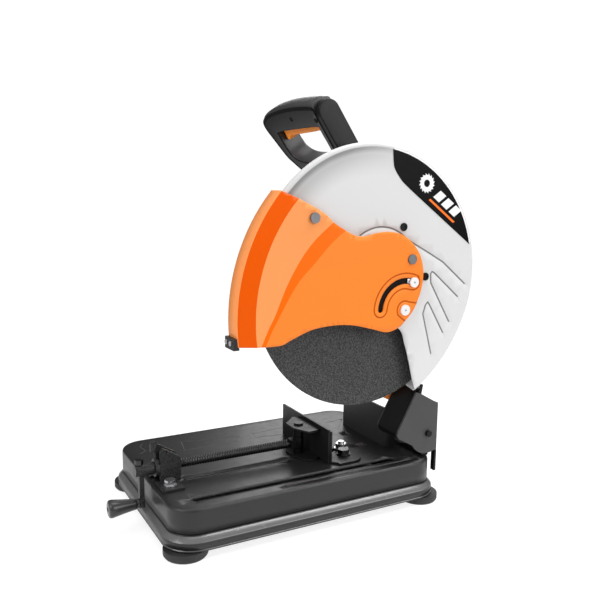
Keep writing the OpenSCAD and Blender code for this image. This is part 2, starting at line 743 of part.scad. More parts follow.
module handle_front() color([0.1, 0.1, 0.1]) {
  difference() {
    hframe(hn0, 380.95) handle_outline();
    grip_cavity(367, 381.2);
    hframe(371, 381.2) polygon([[-64, 450], [-64, 460], [69, 460], [69, 450]]);
    for (p = [[-5, 479.5], [68, 473]]) hframe(hn0 - 1, 382) translate(p) circle(r = 2.4);
    for (p = [[-5, 479.5], [68, 473]]) hframe(hn0 - 1, hn0 + 3) translate(p) circle(r = 4.2);
  }
}
module handle_rear() color([0.1, 0.1, 0.1]) {
  difference() {
    hframe(381.05, hn1) handle_outline();
    grip_cavity(380, 395);
    hframe(380, 391) polygon([[-64, 450], [-64, 460], [69, 460], [69, 450]]);
    for (p = [[-5, 479.5], [68, 473]]) hframe(380, 392) translate(p) circle(r = 2.4);
  }
}
module handle_cap() color([0.12, 0.12, 0.12]) {
  w = (hn1 - hn0) / 2;
  rotate([90 + lean, 0, 0]) translate([74.1, 0, -(hn0 + hn1) / 2]) rotate([0, 90, 0]) linear_extrude(height = 11.9)
    union() {
      translate([0, 470]) circle(r = w);
      translate([-w, 372]) square([2 * w, 98]);
    }
}
module trigger() color([1, 0.45, 0.05]) {
  hframe(372, 390) polygon([
    [-58, 462], [64, 462], [66, 452], [66, 448.5], [20, 446.8], [-36, 446], [-48, 445], [-52, 441.5], [-58, 440],
    [-62, 443], [-61, 452]
  ]);
}
module handle_screws() color([0.15, 0.15, 0.15]) {
  for (p = [[-5, 479.5], [68, 473]]) {
    hframe(hn0 + 2.9, 391) translate(p) circle(r = 2.35);
    hframe(hn0 + 1.2, hn0 + 2.98) translate(p) circle(r = 3.9);
  }
}
module handle_mount() color([0.72, 0.72, 0.74]) {
  yz(30, 66) difference() {
    polygon([[84.4, 400], [84.4, 512.9], [113.1, 533], [122, 528], [132, 480], [150, 440], [150, 400]]);
    gear_outline(0.05);
  }
}
module power_switch() color([0.06, 0.06, 0.06]) {
  hframe(374, 388) polygon([[0, 467], [48, 467], [48, 484], [0, 484]]);
}
module cord_gland() color([0.06, 0.06, 0.06]) {
  difference() {
    ycyl(mot_y + 50, mot_y + 66, -60, mot_z - 20, 9);
    ycyl(mot_y + 58, mot_y + 70, -60, mot_z - 20, 4.5);
    xcyl(-100, 0, mot_y, mot_z, mot_r + 0.05);
  }
}

base_pan();
corner_plates();
feet();
pivot_bracket();
pivot_shaft();
shaft_nuts();
return_spring();
vise_bracket();
vise_bolts();
half_nut();
release_lever();
vise_screw();
crank_arm();
crank_nut();
crank_grip();
swivel_block();
jaw_pin();
moving_jaw();
fence();
fence_pivot_bolt();
fence_lock_bolt();
spark_chute();
arm_bolts();
head_arm();
gear_housing();
gear_cover();
spindle();
spindle_gear();
bearings();
inner_flange();
abrasive_wheel();
outer_flange();
wheel_bolt();
armature_shaft();
armature_core();
commutator();
fan();
stator();
motor_housing();
motor_end_cap();
brush_holders();
lock_button();
upper_guard();
guard_back();
guard_screws();
decal_plate();
front_guard();
guard_pivots();
guard_discs();
guard_clip();
clip_screws();
handle_front();
handle_rear();
handle_cap();
trigger();
handle_screws();
handle_mount();
power_switch();
cord_gland();
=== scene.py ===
"""Looks for an abrasive chop saw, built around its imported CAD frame.

Metres, +Z up. The operator stands on the -Y side and +X is the operator's right, where the disc is.
"""

import math

import bmesh
import bpy
from mathutils import Matrix, Vector
from mathutils.geometry import delaunay_2d_cdt


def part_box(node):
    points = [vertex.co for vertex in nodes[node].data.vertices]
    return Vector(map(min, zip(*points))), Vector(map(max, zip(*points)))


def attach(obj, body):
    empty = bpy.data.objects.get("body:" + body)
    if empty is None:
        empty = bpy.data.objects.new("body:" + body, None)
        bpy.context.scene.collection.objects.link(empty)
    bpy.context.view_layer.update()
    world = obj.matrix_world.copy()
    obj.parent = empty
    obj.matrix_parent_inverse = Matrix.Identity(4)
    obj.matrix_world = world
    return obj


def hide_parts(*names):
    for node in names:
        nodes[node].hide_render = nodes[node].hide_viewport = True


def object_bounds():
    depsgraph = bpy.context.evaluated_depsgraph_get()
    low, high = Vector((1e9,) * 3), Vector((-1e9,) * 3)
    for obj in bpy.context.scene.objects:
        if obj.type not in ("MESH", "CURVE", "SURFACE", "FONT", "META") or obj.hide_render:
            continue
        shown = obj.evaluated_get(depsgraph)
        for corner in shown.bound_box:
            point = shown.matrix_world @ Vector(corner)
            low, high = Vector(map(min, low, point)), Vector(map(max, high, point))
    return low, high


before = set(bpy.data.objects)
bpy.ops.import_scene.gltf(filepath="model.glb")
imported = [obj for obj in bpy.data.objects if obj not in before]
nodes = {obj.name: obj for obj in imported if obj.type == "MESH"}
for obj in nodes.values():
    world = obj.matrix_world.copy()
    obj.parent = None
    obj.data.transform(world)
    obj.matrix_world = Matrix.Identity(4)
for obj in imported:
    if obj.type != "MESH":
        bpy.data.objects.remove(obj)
cad_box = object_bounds()
MM = 0.001

# the disc guard, seen from +X as (y, z): its round rim, and the larger circle that its lower rear follows
GUARD_CENTRE = Vector((92, 368)) * MM
GUARD_RADIUS = 0.192
TAIL_CENTRE = Vector((46.9, 384.4)) * MM
TAIL_RADIUS = 0.240
TAIL_ANGLE = -19.98
SPINDLE = Vector((88.3, 347)) * MM


# ---------- camera ----------
def make_camera(position, azimuth, elevation, roll, lens):
    """A level camera at a point, turned by three angles in degrees, with its lens in millimetres."""
    az, el, ro = (math.radians(v) for v in (azimuth, elevation, roll))
    back = Vector((math.sin(az) * math.cos(el), -math.cos(az) * math.cos(el), math.sin(el)))
    right = Vector((math.cos(az), math.sin(az), 0))
    up = back.cross(right)
    right_rolled = math.cos(ro) * right + math.sin(ro) * up
    up_rolled = math.cos(ro) * up - math.sin(ro) * right
    data = bpy.data.cameras.new("camera")
    data.lens = lens
    data.sensor_width = 36
    data.clip_end = 50
    camera = bpy.data.objects.new("camera", data)
    turn = Matrix((right_rolled, up_rolled, back)).transposed().to_4x4()
    camera.matrix_world = Matrix.Translation(position) @ turn
    bpy.context.scene.collection.objects.link(camera)
    bpy.context.scene.camera = camera


make_camera(
    position=(0.99035, -0.50032, 0.4920), azimuth=61.17, elevation=8.86, roll=0.76, lens=42.68
)


# ---------- materials ----------
LOOKS = {}


class Graph:
    """A node tree, with short ways to add to it."""

    def __init__(self, tree):
        self.tree = tree

    def link(self, a, b):
        self.tree.links.new(a, b)

    def node(self, kind, *sources, operation=None):
        """A node whose first inputs are linked to sockets, set to constants, or left alone where None."""
        node = self.tree.nodes.new(f"ShaderNode{kind}")
        if operation:
            node.operation = operation
        for socket, source in zip(node.inputs, sources):
            if isinstance(source, bpy.types.NodeSocket):
                self.link(source, socket)
            elif source is not None:
                socket.default_value = source
        return node

    def math(self, operation, a, b):
        return self.node("Math", a, b, operation=operation).outputs["Value"]

    def vector(self, operation, a, b=None, out="Vector"):
        return self.node("VectorMath", a, b, operation=operation).outputs[out]

    def between(self, fac, low, high, bottom, top):
        """fac from low to high becomes bottom to top."""
        return self.node("MapRange", fac, low, high, bottom, top).outputs["Result"]

    def ramp(self, fac, *stops):
        """A colour that runs between two (position, colour) stops as fac grows."""
        ramp = self.node("ValToRGB", fac)
        for element, (position, colour) in zip(ramp.color_ramp.elements, stops):
            element.position = position
            element.color = (*colour, 1)
        return ramp.outputs["Color"]


class Look(Graph):
    """One procedural material: a Principled shader, and the noise that varies it, in object metres."""

    def __init__(self, name, colour, rough, metal=0.0, gloss=0.5):
        self.material = bpy.data.materials.new(name)
        LOOKS[name] = self.material
        self.material.use_nodes = True
        super().__init__(self.material.node_tree)
        self.shader = self.tree.nodes["Principled BSDF"]
        self.set("Base Color", (*colour, 1))
        self.set("Roughness", rough)
        self.set("Metallic", metal)
        self.set("Specular IOR Level", gloss)
        self.colour = colour
        self.rough = rough
        self.coords = self.node("TexCoord").outputs["Object"]
        self.normal = None

    def set(self, socket, value):
        self.shader.inputs[socket].default_value = value

    def noise(self, size, detail=3.0, stretch=(1, 1, 1)):
        """Noise whose blotches are about size metres across, wider along stretched axes."""
        scale = [1 / (size * s) for s in stretch]
        mapping = self.node("Mapping", self.coords, None, None, scale)
        texture = self.node("TexNoise", mapping.outputs["Vector"])
        texture.inputs["Scale"].default_value = 1
        texture.inputs["Detail"].default_value = detail
        return texture.outputs["Fac"]

    def cells(self, size):
        """Rounded grains about size metres across."""
        texture = self.node("TexVoronoi", self.coords)
        texture.inputs["Scale"].default_value = 1 / size
        return texture.outputs["Distance"]

    def mix(self, fac, other):
        """The base colour goes to another as fac goes to 1."""
        node = self.node("Mix")
        node.data_type = "RGBA"
        node.inputs["A"].default_value = (*self.colour, 1)
        node.inputs["B"].default_value = (*other, 1)
        self.link(fac, node.inputs["Factor"])
        self.link(node.outputs["Result"], self.shader.inputs["Base Color"])

    def tint(self, fac, amount, low=0.3, high=0.7):
        """The base colour goes from darker to lighter by amount, as fac does."""
        darker = [c * (1 - amount) for c in self.colour]
        lighter = [min(1, c * (1 + amount)) for c in self.colour]
        self.link(self.ramp(fac, (low, darker), (high, lighter)), self.shader.inputs["Base Color"])

    def blotch_rough(self, fac, amount):
        uneven = self.between(fac, 0.3, 0.7, self.rough - amount, self.rough + amount)
        self.link(uneven, self.shader.inputs["Roughness"])

    def bump(self, fac, height):
        """Bumps height metres high, on top of those already there."""
        bump = self.node("Bump")
        bump.inputs["Distance"].default_value = height
        bump.inputs["Strength"].default_value = 1.0
        self.link(fac, bump.inputs["Height"])
        if self.normal is not None:
            self.link(self.normal, bump.inputs["Normal"])
        self.normal = bump.outputs["Normal"]
        self.link(self.normal, self.shader.inputs["Normal"])

    def coat(self, weight, rough):
        self.set("Coat Weight", weight)
        self.set("Coat Roughness", rough)


def paint(name, colour, rough, coat=0.0, peel=0.00002, blotch=0.03, gloss=0.25):
    """Sprayed paint: orange peel, slight unevenness in tone and gloss."""
    look = Look(name, colour, rough, 0.0, gloss)
    look.tint(look.noise(0.05), blotch)
    look.blotch_rough(look.noise(0.012), 0.04)
    look.bump(look.noise(0.0035, 2), peel)
    look.bump(look.noise(0.0007, 1), peel * 0.3)
    look.coat(coat, 0.12)


def silver_with_painted_shade(name, colour):
    """Silver enamel, with painted shade towards the upper front rim of the guard: darker at the rim's rounded
    edge and on the incline inside it.
    """
    look = Look(name, colour, 0.38, 0.0, 0.25)
    flat = look.vector("MULTIPLY", look.vector("SUBTRACT", look.coords, (0, *GUARD_CENTRE)), (0, 1, 1))
    reach = look.vector("LENGTH", flat, out="Value")
    towards_upper_front = look.vector("DOT_PRODUCT", flat, (0, -0.64, 0.77), "Value")
    # painted shade: how much darker the silver gets at the rim's rounded edge and on the incline inside it
    fillet_painted_shade = look.math(
        "MULTIPLY", look.between(reach, 0.1765, 0.1825, 0.0, 0.36),
        look.between(reach, 0.1850, 0.1865, 1.0, 0.0),
    )
    slope_painted_shade = look.math(
        "MULTIPLY", look.between(reach, 0.144, 0.172, 0.0, 0.32),
        look.between(reach, 0.1850, 0.1865, 1.0, 0.3),
    )
    upper_front = look.between(towards_upper_front, 0.075, 0.165, 0.0, 1.0)
    # the painted shade takes the silver towards near black, on the upper front only
    look.mix(look.math("MULTIPLY", look.math("ADD", fillet_painted_shade, slope_painted_shade), upper_front), (0.03, 0.03, 0.03))
    look.blotch_rough(look.noise(0.012), 0.04)
    look.bump(look.noise(0.0035, 2), 0.00002)


def powder_coat(name, colour, rough, grain=0.0003):
    """Wrinkled black coating on castings and brackets: fine grains all over."""
    look = Look(name, colour, rough, 0.0, 0.3)
    look.tint(look.noise(0.0018, 4), 0.75, 0.38, 0.62)
    look.blotch_rough(look.noise(0.006), 0.06)
    look.bump(look.noise(0.0016, 4), grain)


def plastic(name, colour, rough, grain=0.00002, coat=0.0, gloss=0.3):
    """Moulded plastic with a fine spark-eroded grain."""
    look = Look(name, colour, rough, 0.0, gloss)
    look.tint(look.noise(0.04), 0.04)
    look.blotch_rough(look.noise(0.008), 0.03)
    look.bump(look.noise(0.0006, 2), grain)
    look.coat(coat, 0.15)


def bare_metal(name, colour, rough, stretch=(1, 1, 1)):
    """Plated or turned steel: fine lines, uneven gloss."""
    look = Look(name, colour, rough, metal=1.0)
    look.tint(look.noise(0.006, 4), 0.08)
    look.blotch_rough(look.noise(0.0015, 3, stretch), 0.08)
    look.bump(look.noise(0.0004, 2, stretch), 0.00001)


def cast_metal(name, colour, rough):
    """Sand-cast alloy."""
    look = Look(name, colour, rough, metal=0.85)
    look.tint(look.noise(0.01, 5), 0.1)
    look.bump(look.noise(0.0016, 5), 0.00012)
    look.bump(look.cells(0.004), 0.00003)


def rubber(name, colour):
    look = Look(name, colour, 0.62)
    look.tint(look.noise(0.02, 5), 0.25)
    look.bump(look.noise(0.0012, 4), 0.00006)


def abrasive(name, colour):
    """Resin-bonded grit: dark binder with paler grains, rough all over."""
    look = Look(name, colour, 0.78)
    look.tint(look.noise(0.0021, 2), 0.75, 0.36, 0.64)
    look.bump(look.cells(0.0016), 0.0003)
    look.bump(look.noise(0.0009, 5), 0.00025)


ORANGE = (0.92, 0.235, 0.03)

# black and grey sheet metal
paint("base_black", (0.0125, 0.0125, 0.013), 0.4, 0.08, 0.000003, gloss=0.4)
paint("sheet_black", (0.009, 0.009, 0.0095), 0.4, gloss=0.2)
paint("sheet_grey", (0.058, 0.058, 0.059), 0.5)
paint("bracket_grey", (0.03, 0.03, 0.031), 0.45)
powder_coat("wrinkle_black", (0.02, 0.02, 0.021), 0.42)
paint("satin_black", (0.004, 0.004, 0.0042), 0.35, gloss=0.18)
# a lighter copy of the base black on the raised outlines: painted highlight along them
paint("emboss_painted_highlight", (0.085, 0.085, 0.085), 0.4)
# a lighter, glossier copy of the base black on the sloping shoulder and a line in the hem: painted highlight
paint("lip_painted_highlight", (0.1, 0.1, 0.101), 0.25, 0.3, 0.000004, gloss=0.5)
paint("bead_black", (0.03, 0.03, 0.031), 0.38, gloss=0.4)
# near black: the guard's own inside and a plate's black field, and painted shade where it fills creases,
# recesses, slots, wells and gaps
paint("deep_black_and_painted_shade", (0.006, 0.006, 0.006), 0.6, gloss=0.1)
# disc guard and front guard
# the guard's silver, which carries painted shade near its upper front rim
silver_with_painted_shade("guard_silver", (0.67, 0.67, 0.67))
# a darker copy of the silver for the guard's side wall: painted shade
paint("guard_wall_painted_shade", (0.5, 0.5, 0.5), 0.4)
# a darker copy of the silver for the guard's embossed grooves: painted shade in the grooves
paint("guard_groove_painted_shade", (0.22, 0.22, 0.22), 0.45)
paint("orange", ORANGE, 0.4, blotch=0.01, gloss=0.12)
# a darker copy of the orange for the front guard's bevel: painted shade
paint("orange_bevel_painted_shade", (0.8, 0.098, 0.0), 0.4, blotch=0.01, gloss=0.1)
# a darker copy of the orange for the crescent: painted shade
paint("orange_crescent_painted_shade", (0.92, 0.142, 0.0), 0.4, blotch=0.01, gloss=0.1)
# a lighter copy of the orange for the facet and the rolled rim: painted light
paint("orange_painted_light", (0.92, 0.325, 0.1), 0.4, blotch=0.01, gloss=0.12)
# a darker copy of the orange for the grooves: painted shade in the grooves
paint("orange_groove_painted_shade", (0.5, 0.085, 0.0), 0.45, blotch=0.01, gloss=0.1)
# castings and mouldings
paint("orange_cast", ORANGE, 0.45, peel=0.00008)
plastic("orange_plastic", (0.92, 0.19, 0.01), 0.4)
# a lighter copy of the orange plastic for the trigger, which sits in shade: painted light
plastic("trigger_orange_painted_light", (1.0, 0.3, 0.02), 0.4)
plastic("black_plastic", (0.018, 0.018, 0.0185), 0.42)
plastic("gloss_plastic", (0.028, 0.028, 0.0285), 0.3, coat=0.3)
# a lighter copy of the handle plastic for the rolled shell and collar: painted light along the top
plastic("handle_painted_light", (0.035, 0.035, 0.036), 0.34, gloss=0.45)
# a darker copy of the handle plastic for the end cap, which faces the side lamp: painted shade
plastic("handle_end", (0.008, 0.008, 0.0082), 0.38, gloss=0.2)
plastic("handle_plastic", (0.014, 0.014, 0.0145), 0.34)
rubber("rubber", (0.013, 0.013, 0.013))
# metals
bare_metal("zinc", (0.72, 0.72, 0.74), 0.28)
paint("screw_white", (0.8, 0.8, 0.8), 0.35, gloss=0.5)
bare_metal("disc_grey", (0.2, 0.2, 0.21), 0.5)
bare_metal("steel", (0.42, 0.42, 0.43), 0.36)
bare_metal("black_bolt", (0.09, 0.09, 0.092), 0.3)
bare_metal("dark_steel", (0.055, 0.055, 0.057), 0.34)
cast_metal("alloy", (0.6, 0.6, 0.62), 0.45)
bare_metal("brass", (0.72, 0.5, 0.2), 0.3)
bare_metal("copper", (0.75, 0.35, 0.18), 0.35)
bare_metal("winding", (0.5, 0.2, 0.07), 0.4, (1, 1, 8))
abrasive("grit", (0.043, 0.043, 0.044))
# badge
plastic("decal_black", (0.002, 0.002, 0.002), 0.4, 0.000005, gloss=0.08)
plastic("decal_white", (0.85, 0.85, 0.85), 0.4, 0.000005)
plastic("decal_orange", (1.0, 0.16, 0.0), 0.4, 0.000005)

NODE_LOOKS = {
    "base_black": ["base_pan"],
    "sheet_black": ["corner_plates", "moving_jaw", "fence"],
    "bracket_grey": ["pivot_bracket"],
    "sheet_grey": ["spark_chute"],
    "rubber": ["feet"],
    "zinc": ["vise_bolts", "fence_lock_bolt", "bearings", "clip_screws"],
    "satin_black": ["guard_screws", "jaw_pin", "swivel_block", "pivot_shaft", "shaft_nuts"],
    "screw_white": ["guard_pivots"],
    "disc_grey": ["guard_discs"],
    "black_bolt": ["fence_pivot_bolt"],
    "dark_steel": [
        "vise_screw", "crank_nut", "arm_bolts", "spindle", "wheel_bolt", "armature_shaft", "handle_screws",
    ],
    "steel": ["return_spring", "inner_flange", "outer_flange", "spindle_gear"],
    "wrinkle_black": ["vise_bracket", "release_lever", "crank_arm"],
    "brass": ["half_nut"],
    "gloss_plastic": ["crank_grip"],
    "black_plastic": [
        "fan", "motor_end_cap", "brush_holders", "lock_button", "guard_clip", "handle_front",
        "handle_rear", "handle_cap", "power_switch", "cord_gland",
    ],
    "orange_cast": ["head_arm"],
    "orange_plastic": ["motor_housing", "trigger"],
    "alloy": ["gear_housing", "gear_cover", "handle_mount"],
    "grit": ["abrasive_wheel"],
    "winding": ["armature_core", "stator"],
    "copper": ["commutator"],
    "guard_silver": ["upper_guard"],
    "deep_black_and_painted_shade": ["guard_back"],
    "decal_black": ["decal_plate"],
    "orange": ["front_guard"],
}

for look, names in NODE_LOOKS.items():
    for name in names:
        nodes[name].data.materials.clear()
        nodes[name].data.materials.append(LOOKS[look])


# ---------- flat outlines ----------
def mm(points):
    return [Vector(p) * MM for p in points]


def heading(angle):
    """The 2D direction at an angle in degrees."""
    return Vector((math.cos(math.radians(angle)), math.sin(math.radians(angle))))


def angle_of(d):
    """The angle in degrees of a 2D direction."""
    return math.degrees(math.atan2(d.y, d.x))


def arc(centre, radius, start, stop, step=2.0):
    """Points on a 2D arc, angles in degrees."""
    count = max(2, round(abs(stop - start) / step))
    return [
        centre + radius * heading(start + (stop - start) * k / count) for k in range(count + 1)
    ]


def curve_through(points, steps, closed=False):
    """Catmull-Rom points through a list of 2D points."""
    pts = [Vector(p) for p in points]
    count = len(pts)
    out = []
    spans = range(count) if closed else range(count - 1)
    for i in spans:
        a = pts[(i - 1) % count] if closed or i else pts[0]
        b, c = pts[i], pts[(i + 1) % count]
        d = pts[(i + 2) % count] if closed or i + 2 < count else pts[-1]
        for k in range(steps):
            t = k / steps
            out.append(
                0.5 * (2 * b + (c - a) * t + (2 * a - 5 * b + 4 * c - d) * t * t
                       + (3 * b - a - 3 * c + d) * t ** 3)
            )
    if not closed:
        out.append(pts[-1])
    return out


def resampled(line, step):
    """The polyline again, with points about step apart."""
    out = [line[0]]
    for a, b in zip(line, line[1:]):
        count = max(1, round((b - a).length / step))
        out += [a.lerp(b, k / count) for k in range(1, count + 1)]
    return out


def loop_of(corners, step):
    """A closed outline through corners, with points about step apart."""
    return resampled(corners + corners[:1], step)[:-1]


def inset(loop, distance):
    """A closed 2D loop moved inwards by distance, to the left of its direction of travel."""
    out = []
    count = len(loop)
    for i, p in enumerate(loop):
        before = (p - loop[i - 1]).normalized()
        after = (loop[(i + 1) % count] - p).normalized()
        mean = (before + after).normalized()
        side = Vector((-mean.y, mean.x))
        scale = 1 / max(0.5, side.dot(Vector((-before.y, before.x))))
        out.append(p + side * distance * scale)
    return out


def beside(line, offset):
    """The polyline moved sideways by offset, to its left."""
    out = []
    for i, p in enumerate(line):
        d = (line[min(i + 1, len(line) - 1)] - line[max(i - 1, 0)]).normalized()
        out.append(p + Vector((-d.y, d.x)) * offset)
    return out


def strip_along(line, left, right):
    """A closed outline round a polyline, from its left side to its right."""
    return beside(line, left) + beside(line, right)[::-1]


def area(loop):
    return 0.5 * sum(a.x * b.y - b.x * a.y for a, b in zip(loop, loop[1:] + loop[:1]))


def inside(p, loop):
    """True if a 2D point is in a closed loop."""
    hit = False
    for a, b in zip(loop, loop[1:] + loop[:1]):
        if (a.y > p.y) != (b.y > p.y) and p.x < a.x + (p.y - a.y) / (b.y - a.y) * (b.x - a.x):
            hit = not hit
    return hit


def distance_to(p, line):
    """Distance from a 2D point to a polyline."""
    best = 1e9
    for a, b in zip(line, line[1:]):
        d = b - a
        t = max(0, min(1, (p - a).dot(d) / d.length_squared))
        best = min(best, (p - a - d * t).length)
    return best


# ---------- objects ----------
def add_object(name, bm, look, body):
    """An object from a bmesh, riding on a body."""
    mesh = bpy.data.meshes.new(name)
    bm.to_mesh(mesh)
    bm.free()
    obj = bpy.data.objects.new(name, mesh)
    bpy.context.scene.collection.objects.link(obj)
    mesh.materials.append(LOOKS[look])
    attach(obj, body)
    return obj


def new_object(name, bm, look, body, smooth_angle=35):
    """A closed piece, shaded smooth except at edges sharper than smooth_angle."""
    bmesh.ops.recalc_face_normals(bm, faces=bm.faces)
    for face in bm.faces:
        face.smooth = True
    for edge in bm.edges:
        edge.smooth = len(edge.link_faces) == 2 and edge.calc_face_angle(0) < math.radians(smooth_angle)
    return add_object(name, bm, look, body)


def sheet_object(name, bm, look, body, thickness):
    """A piece from a one-sided sheet, thickened behind its face."""
    for face in bm.faces:
        face.smooth = True
    obj = add_object(name, bm, look, body)
    solid = obj.modifiers.new("sheet", "SOLIDIFY")
    solid.thickness = thickness
    solid.offset = -1
    solid.use_even_offset = True
    return obj


def rounded_plate(bm, outer, hole, depth, rounding, place, steps=5, profiles=None, move=inset):
    """A plate depth thick with rounded rims, from a 2D outline and an optional hole. place maps (u, v, w).

    profiles are the (inset, w) rims of the outline and of the hole, when they are not alike."""
    loops = [outer if area(outer) > 0 else outer[::-1]]
    if hole:
        loops.append(hole if area(hole) < 0 else hole[::-1])
    profile = []
    for k in range(steps + 1):
        a = math.pi / 2 * k / steps
        profile.append((rounding * (1 - math.cos(a)), depth / 2 - rounding + rounding * math.sin(a)))
    rings = [(d, -w) for d, w in profile[::-1]] + profile
    caps = [[], []]
    for loop, own in zip(loops, profiles or [rings, rings]):
        rows = [[bm.verts.new(place(p.x, p.y, w)) for p in move(loop, d)] for d, w in own]
        for low, high in zip(rows, rows[1:]):
            for i in range(len(loop)):
                j = (i + 1) % len(loop)
                bm.faces.new((low[i], low[j], high[j], high[i]))
        for cap, row in zip(caps, (rows[0], rows[-1])):
            cap += [bm.edges.get((a, b)) for a, b in zip(row, row[1:] + row[:1])]
    for cap in caps:
        bmesh.ops.triangle_fill(bm, edges=cap, use_beauty=True, use_dissolve=False)


def plate(name, look, body, slot, place, outer, depth, rounding, steps=5, hole=None, smooth_angle=35, **rims):
    """A piece that is one rounded_plate."""
    bm = bmesh.new()
    rounded_plate(bm, outer, hole, depth, rounding, place, steps, **rims)
    return new_object(name, bm, look, body, smooth_angle)


def lathe(bm, profile, place, segments=64):
    """A profile of (radius, distance along the axis) turned round. place maps (u, v, w), w along the axis."""
    rows = []
    for r, w in profile:
        if r < 1e-7:
            rows.append([bm.verts.new(place(0, 0, w))] * segments)
            continue
        turn = [2 * math.pi * k / segments for k in range(segments)]
        rows.append([bm.verts.new(place(r * math.cos(a), r * math.sin(a), w)) for a in turn])
    for low, high in zip(rows, rows[1:]):
        for i in range(segments):
            j = (i + 1) % segments
            corners = []
            for v in (low[i], low[j], high[j], high[i]):
                if v not in corners:
                    corners.append(v)
            if len(corners) > 2:
                bm.faces.new(corners)


def turned(name, look, body, place, profile, segments=48, smooth_angle=35):
    """A piece that is one lathe, its profile in millimetres."""
    bm = bmesh.new()
    lathe(bm, [(r * MM, w * MM) for r, w in profile], place, segments)
    return new_object(name, bm, look, body, smooth_angle)


def along(origin, axis, up=(0, 0, 1)):
    """place() for a piece whose w runs along axis from origin."""
    w = Vector(axis).normalized()
    u = Vector(up).cross(w)
    u = u.normalized() if u.length > 1e-6 else Vector((1, 0, 0))
    v = w.cross(u)
    o = Vector(origin)
    return lambda a, b, c: o + u * a + v * b + w * c


def side_plane(x):
    """place() for outlines drawn in (y, z), with w standing off the plane at x towards +X."""
    return lambda u, v, w: Vector((x + w, u, v))


def level_plane(z):
    """place() for outlines drawn in (x, y), with w standing off the plane at z upwards."""
    return lambda u, v, w: Vector((u, v, z + w))


# ---------- pressed sheet: a flat outline, creases and grooves, and a height at each point ----------
class Pressing:
    """A pressed sheet seen from +X or +Z.

    It has an outline, holes, sharp creases, and grooves of (line, depth, half width)."""

    def __init__(self, outline, holes=(), creases=(), grooves=(), spacing=0.012, facing="x"):
        self.facing = facing
        self.outline = outline
        self.holes = list(holes)
        self.creases = list(creases)
        self.grooves = list(grooves)
        self.spacing = spacing

    def groove_depth(self, p):
        total = 0
        for line, depth, half in self.grooves:
            d = distance_to(p, line)
            if d < half:
                total += depth * 0.5 * (1 + math.cos(math.pi * d / half))
        return total

    def in_groove(self, face, share):
        """True if a face's middle is within a share of a groove's half width."""
        p = flat_point(face)
        return any(distance_to(p, line) < half * share for line, _, half in self.grooves)

    def mesh(self, height, extra=()):
        """The sheet's outer face as a bmesh, standing at height(p) less the grooves."""
        points, edges = [], []

        def add(line, closed):
            start = len(points)
            points.extend(line)
            stop = len(points)
            edges.extend((i, i + 1) for i in range(start, stop - 1))
            if closed:
                edges.append((stop - 1, start))

        for loop in [self.outline, *self.holes]:
            add(loop, True)
        first_crease = len(edges)
        for line in self.creases:
            add(line, False)
        last_crease = len(edges)
        for line, _, half in self.grooves:
            for offset in (-1, -0.6, -0.25, 0.25, 0.6, 1):
                points.extend(beside(line, offset * half))
        points.extend(extra)
        low = Vector((min(p.x for p in self.outline), min(p.y for p in self.outline)))
        high = Vector((max(p.x for p in self.outline), max(p.y for p in self.outline)))
        for i in range(int((high.x - low.x) / self.spacing)):
            for k in range(int((high.y - low.y) / self.spacing)):
                points.append(low + Vector((i + 0.5 + 0.25 * (k % 2), k + 0.5)) * self.spacing)
        verts, made, faces, _, from_edges, _ = delaunay_2d_cdt(points, edges, [], 0, 1e-6)
        sharp = {
            frozenset(e)
            for e, sources in zip(made, from_edges)
            if any(first_crease <= s < last_crease for s in sources)
        }
        bm = bmesh.new()
        kept = {}
        for face in faces:
            centre = sum((verts[i] for i in face), Vector((0, 0))) / len(face)
            if not inside(centre, self.outline) or any(inside(centre, h) for h in self.holes):
                continue
            for i in face:
                if i not in kept:
                    p = verts[i]
                    h = height(p) - self.groove_depth(p)
                    kept[i] = bm.verts.new((h, p.x, p.y) if self.facing == "x" else (p.x, p.y, h))
            bm.faces.new([kept[i] for i in face])
        for e in bm.edges:
            e.smooth = True
        for a, b in (tuple(e) for e in sharp):
            if a in kept and b in kept:
                edge = bm.edges.get((kept[a], kept[b]))
                if edge:
                    edge.smooth = False
        return bm


def flat_point(face):
    """The middle of a face, seen along X."""
    return face.calc_center_median().yz


def rim_strips(bm, on_rim, steps, facing="x"):
    """Carries the sheet's edge round a rim: each step maps a rim vertex to a next place.

    Returns one list of new faces for each step."""
    edges = [e for e in bm.edges if len(e.link_faces) == 1 and all(on_rim(v.co) for v in e.verts)]
    rows = {v: v for e in edges for v in e.verts}
    strips = []
    for step in steps:
        nxt = {v: bm.verts.new(step(v.co)) for v in rows}
        strips.append([bm.faces.new([rows[a], rows[b], nxt[b], nxt[a]]) for a, b in (e.verts for e in edges)])
        rows = nxt
    bmesh.ops.recalc_face_normals(bm, faces=bm.faces)
    if sum(getattr(f.normal, facing) for f in bm.faces) < 0:
        bmesh.ops.reverse_faces(bm, faces=bm.faces)
    return strips


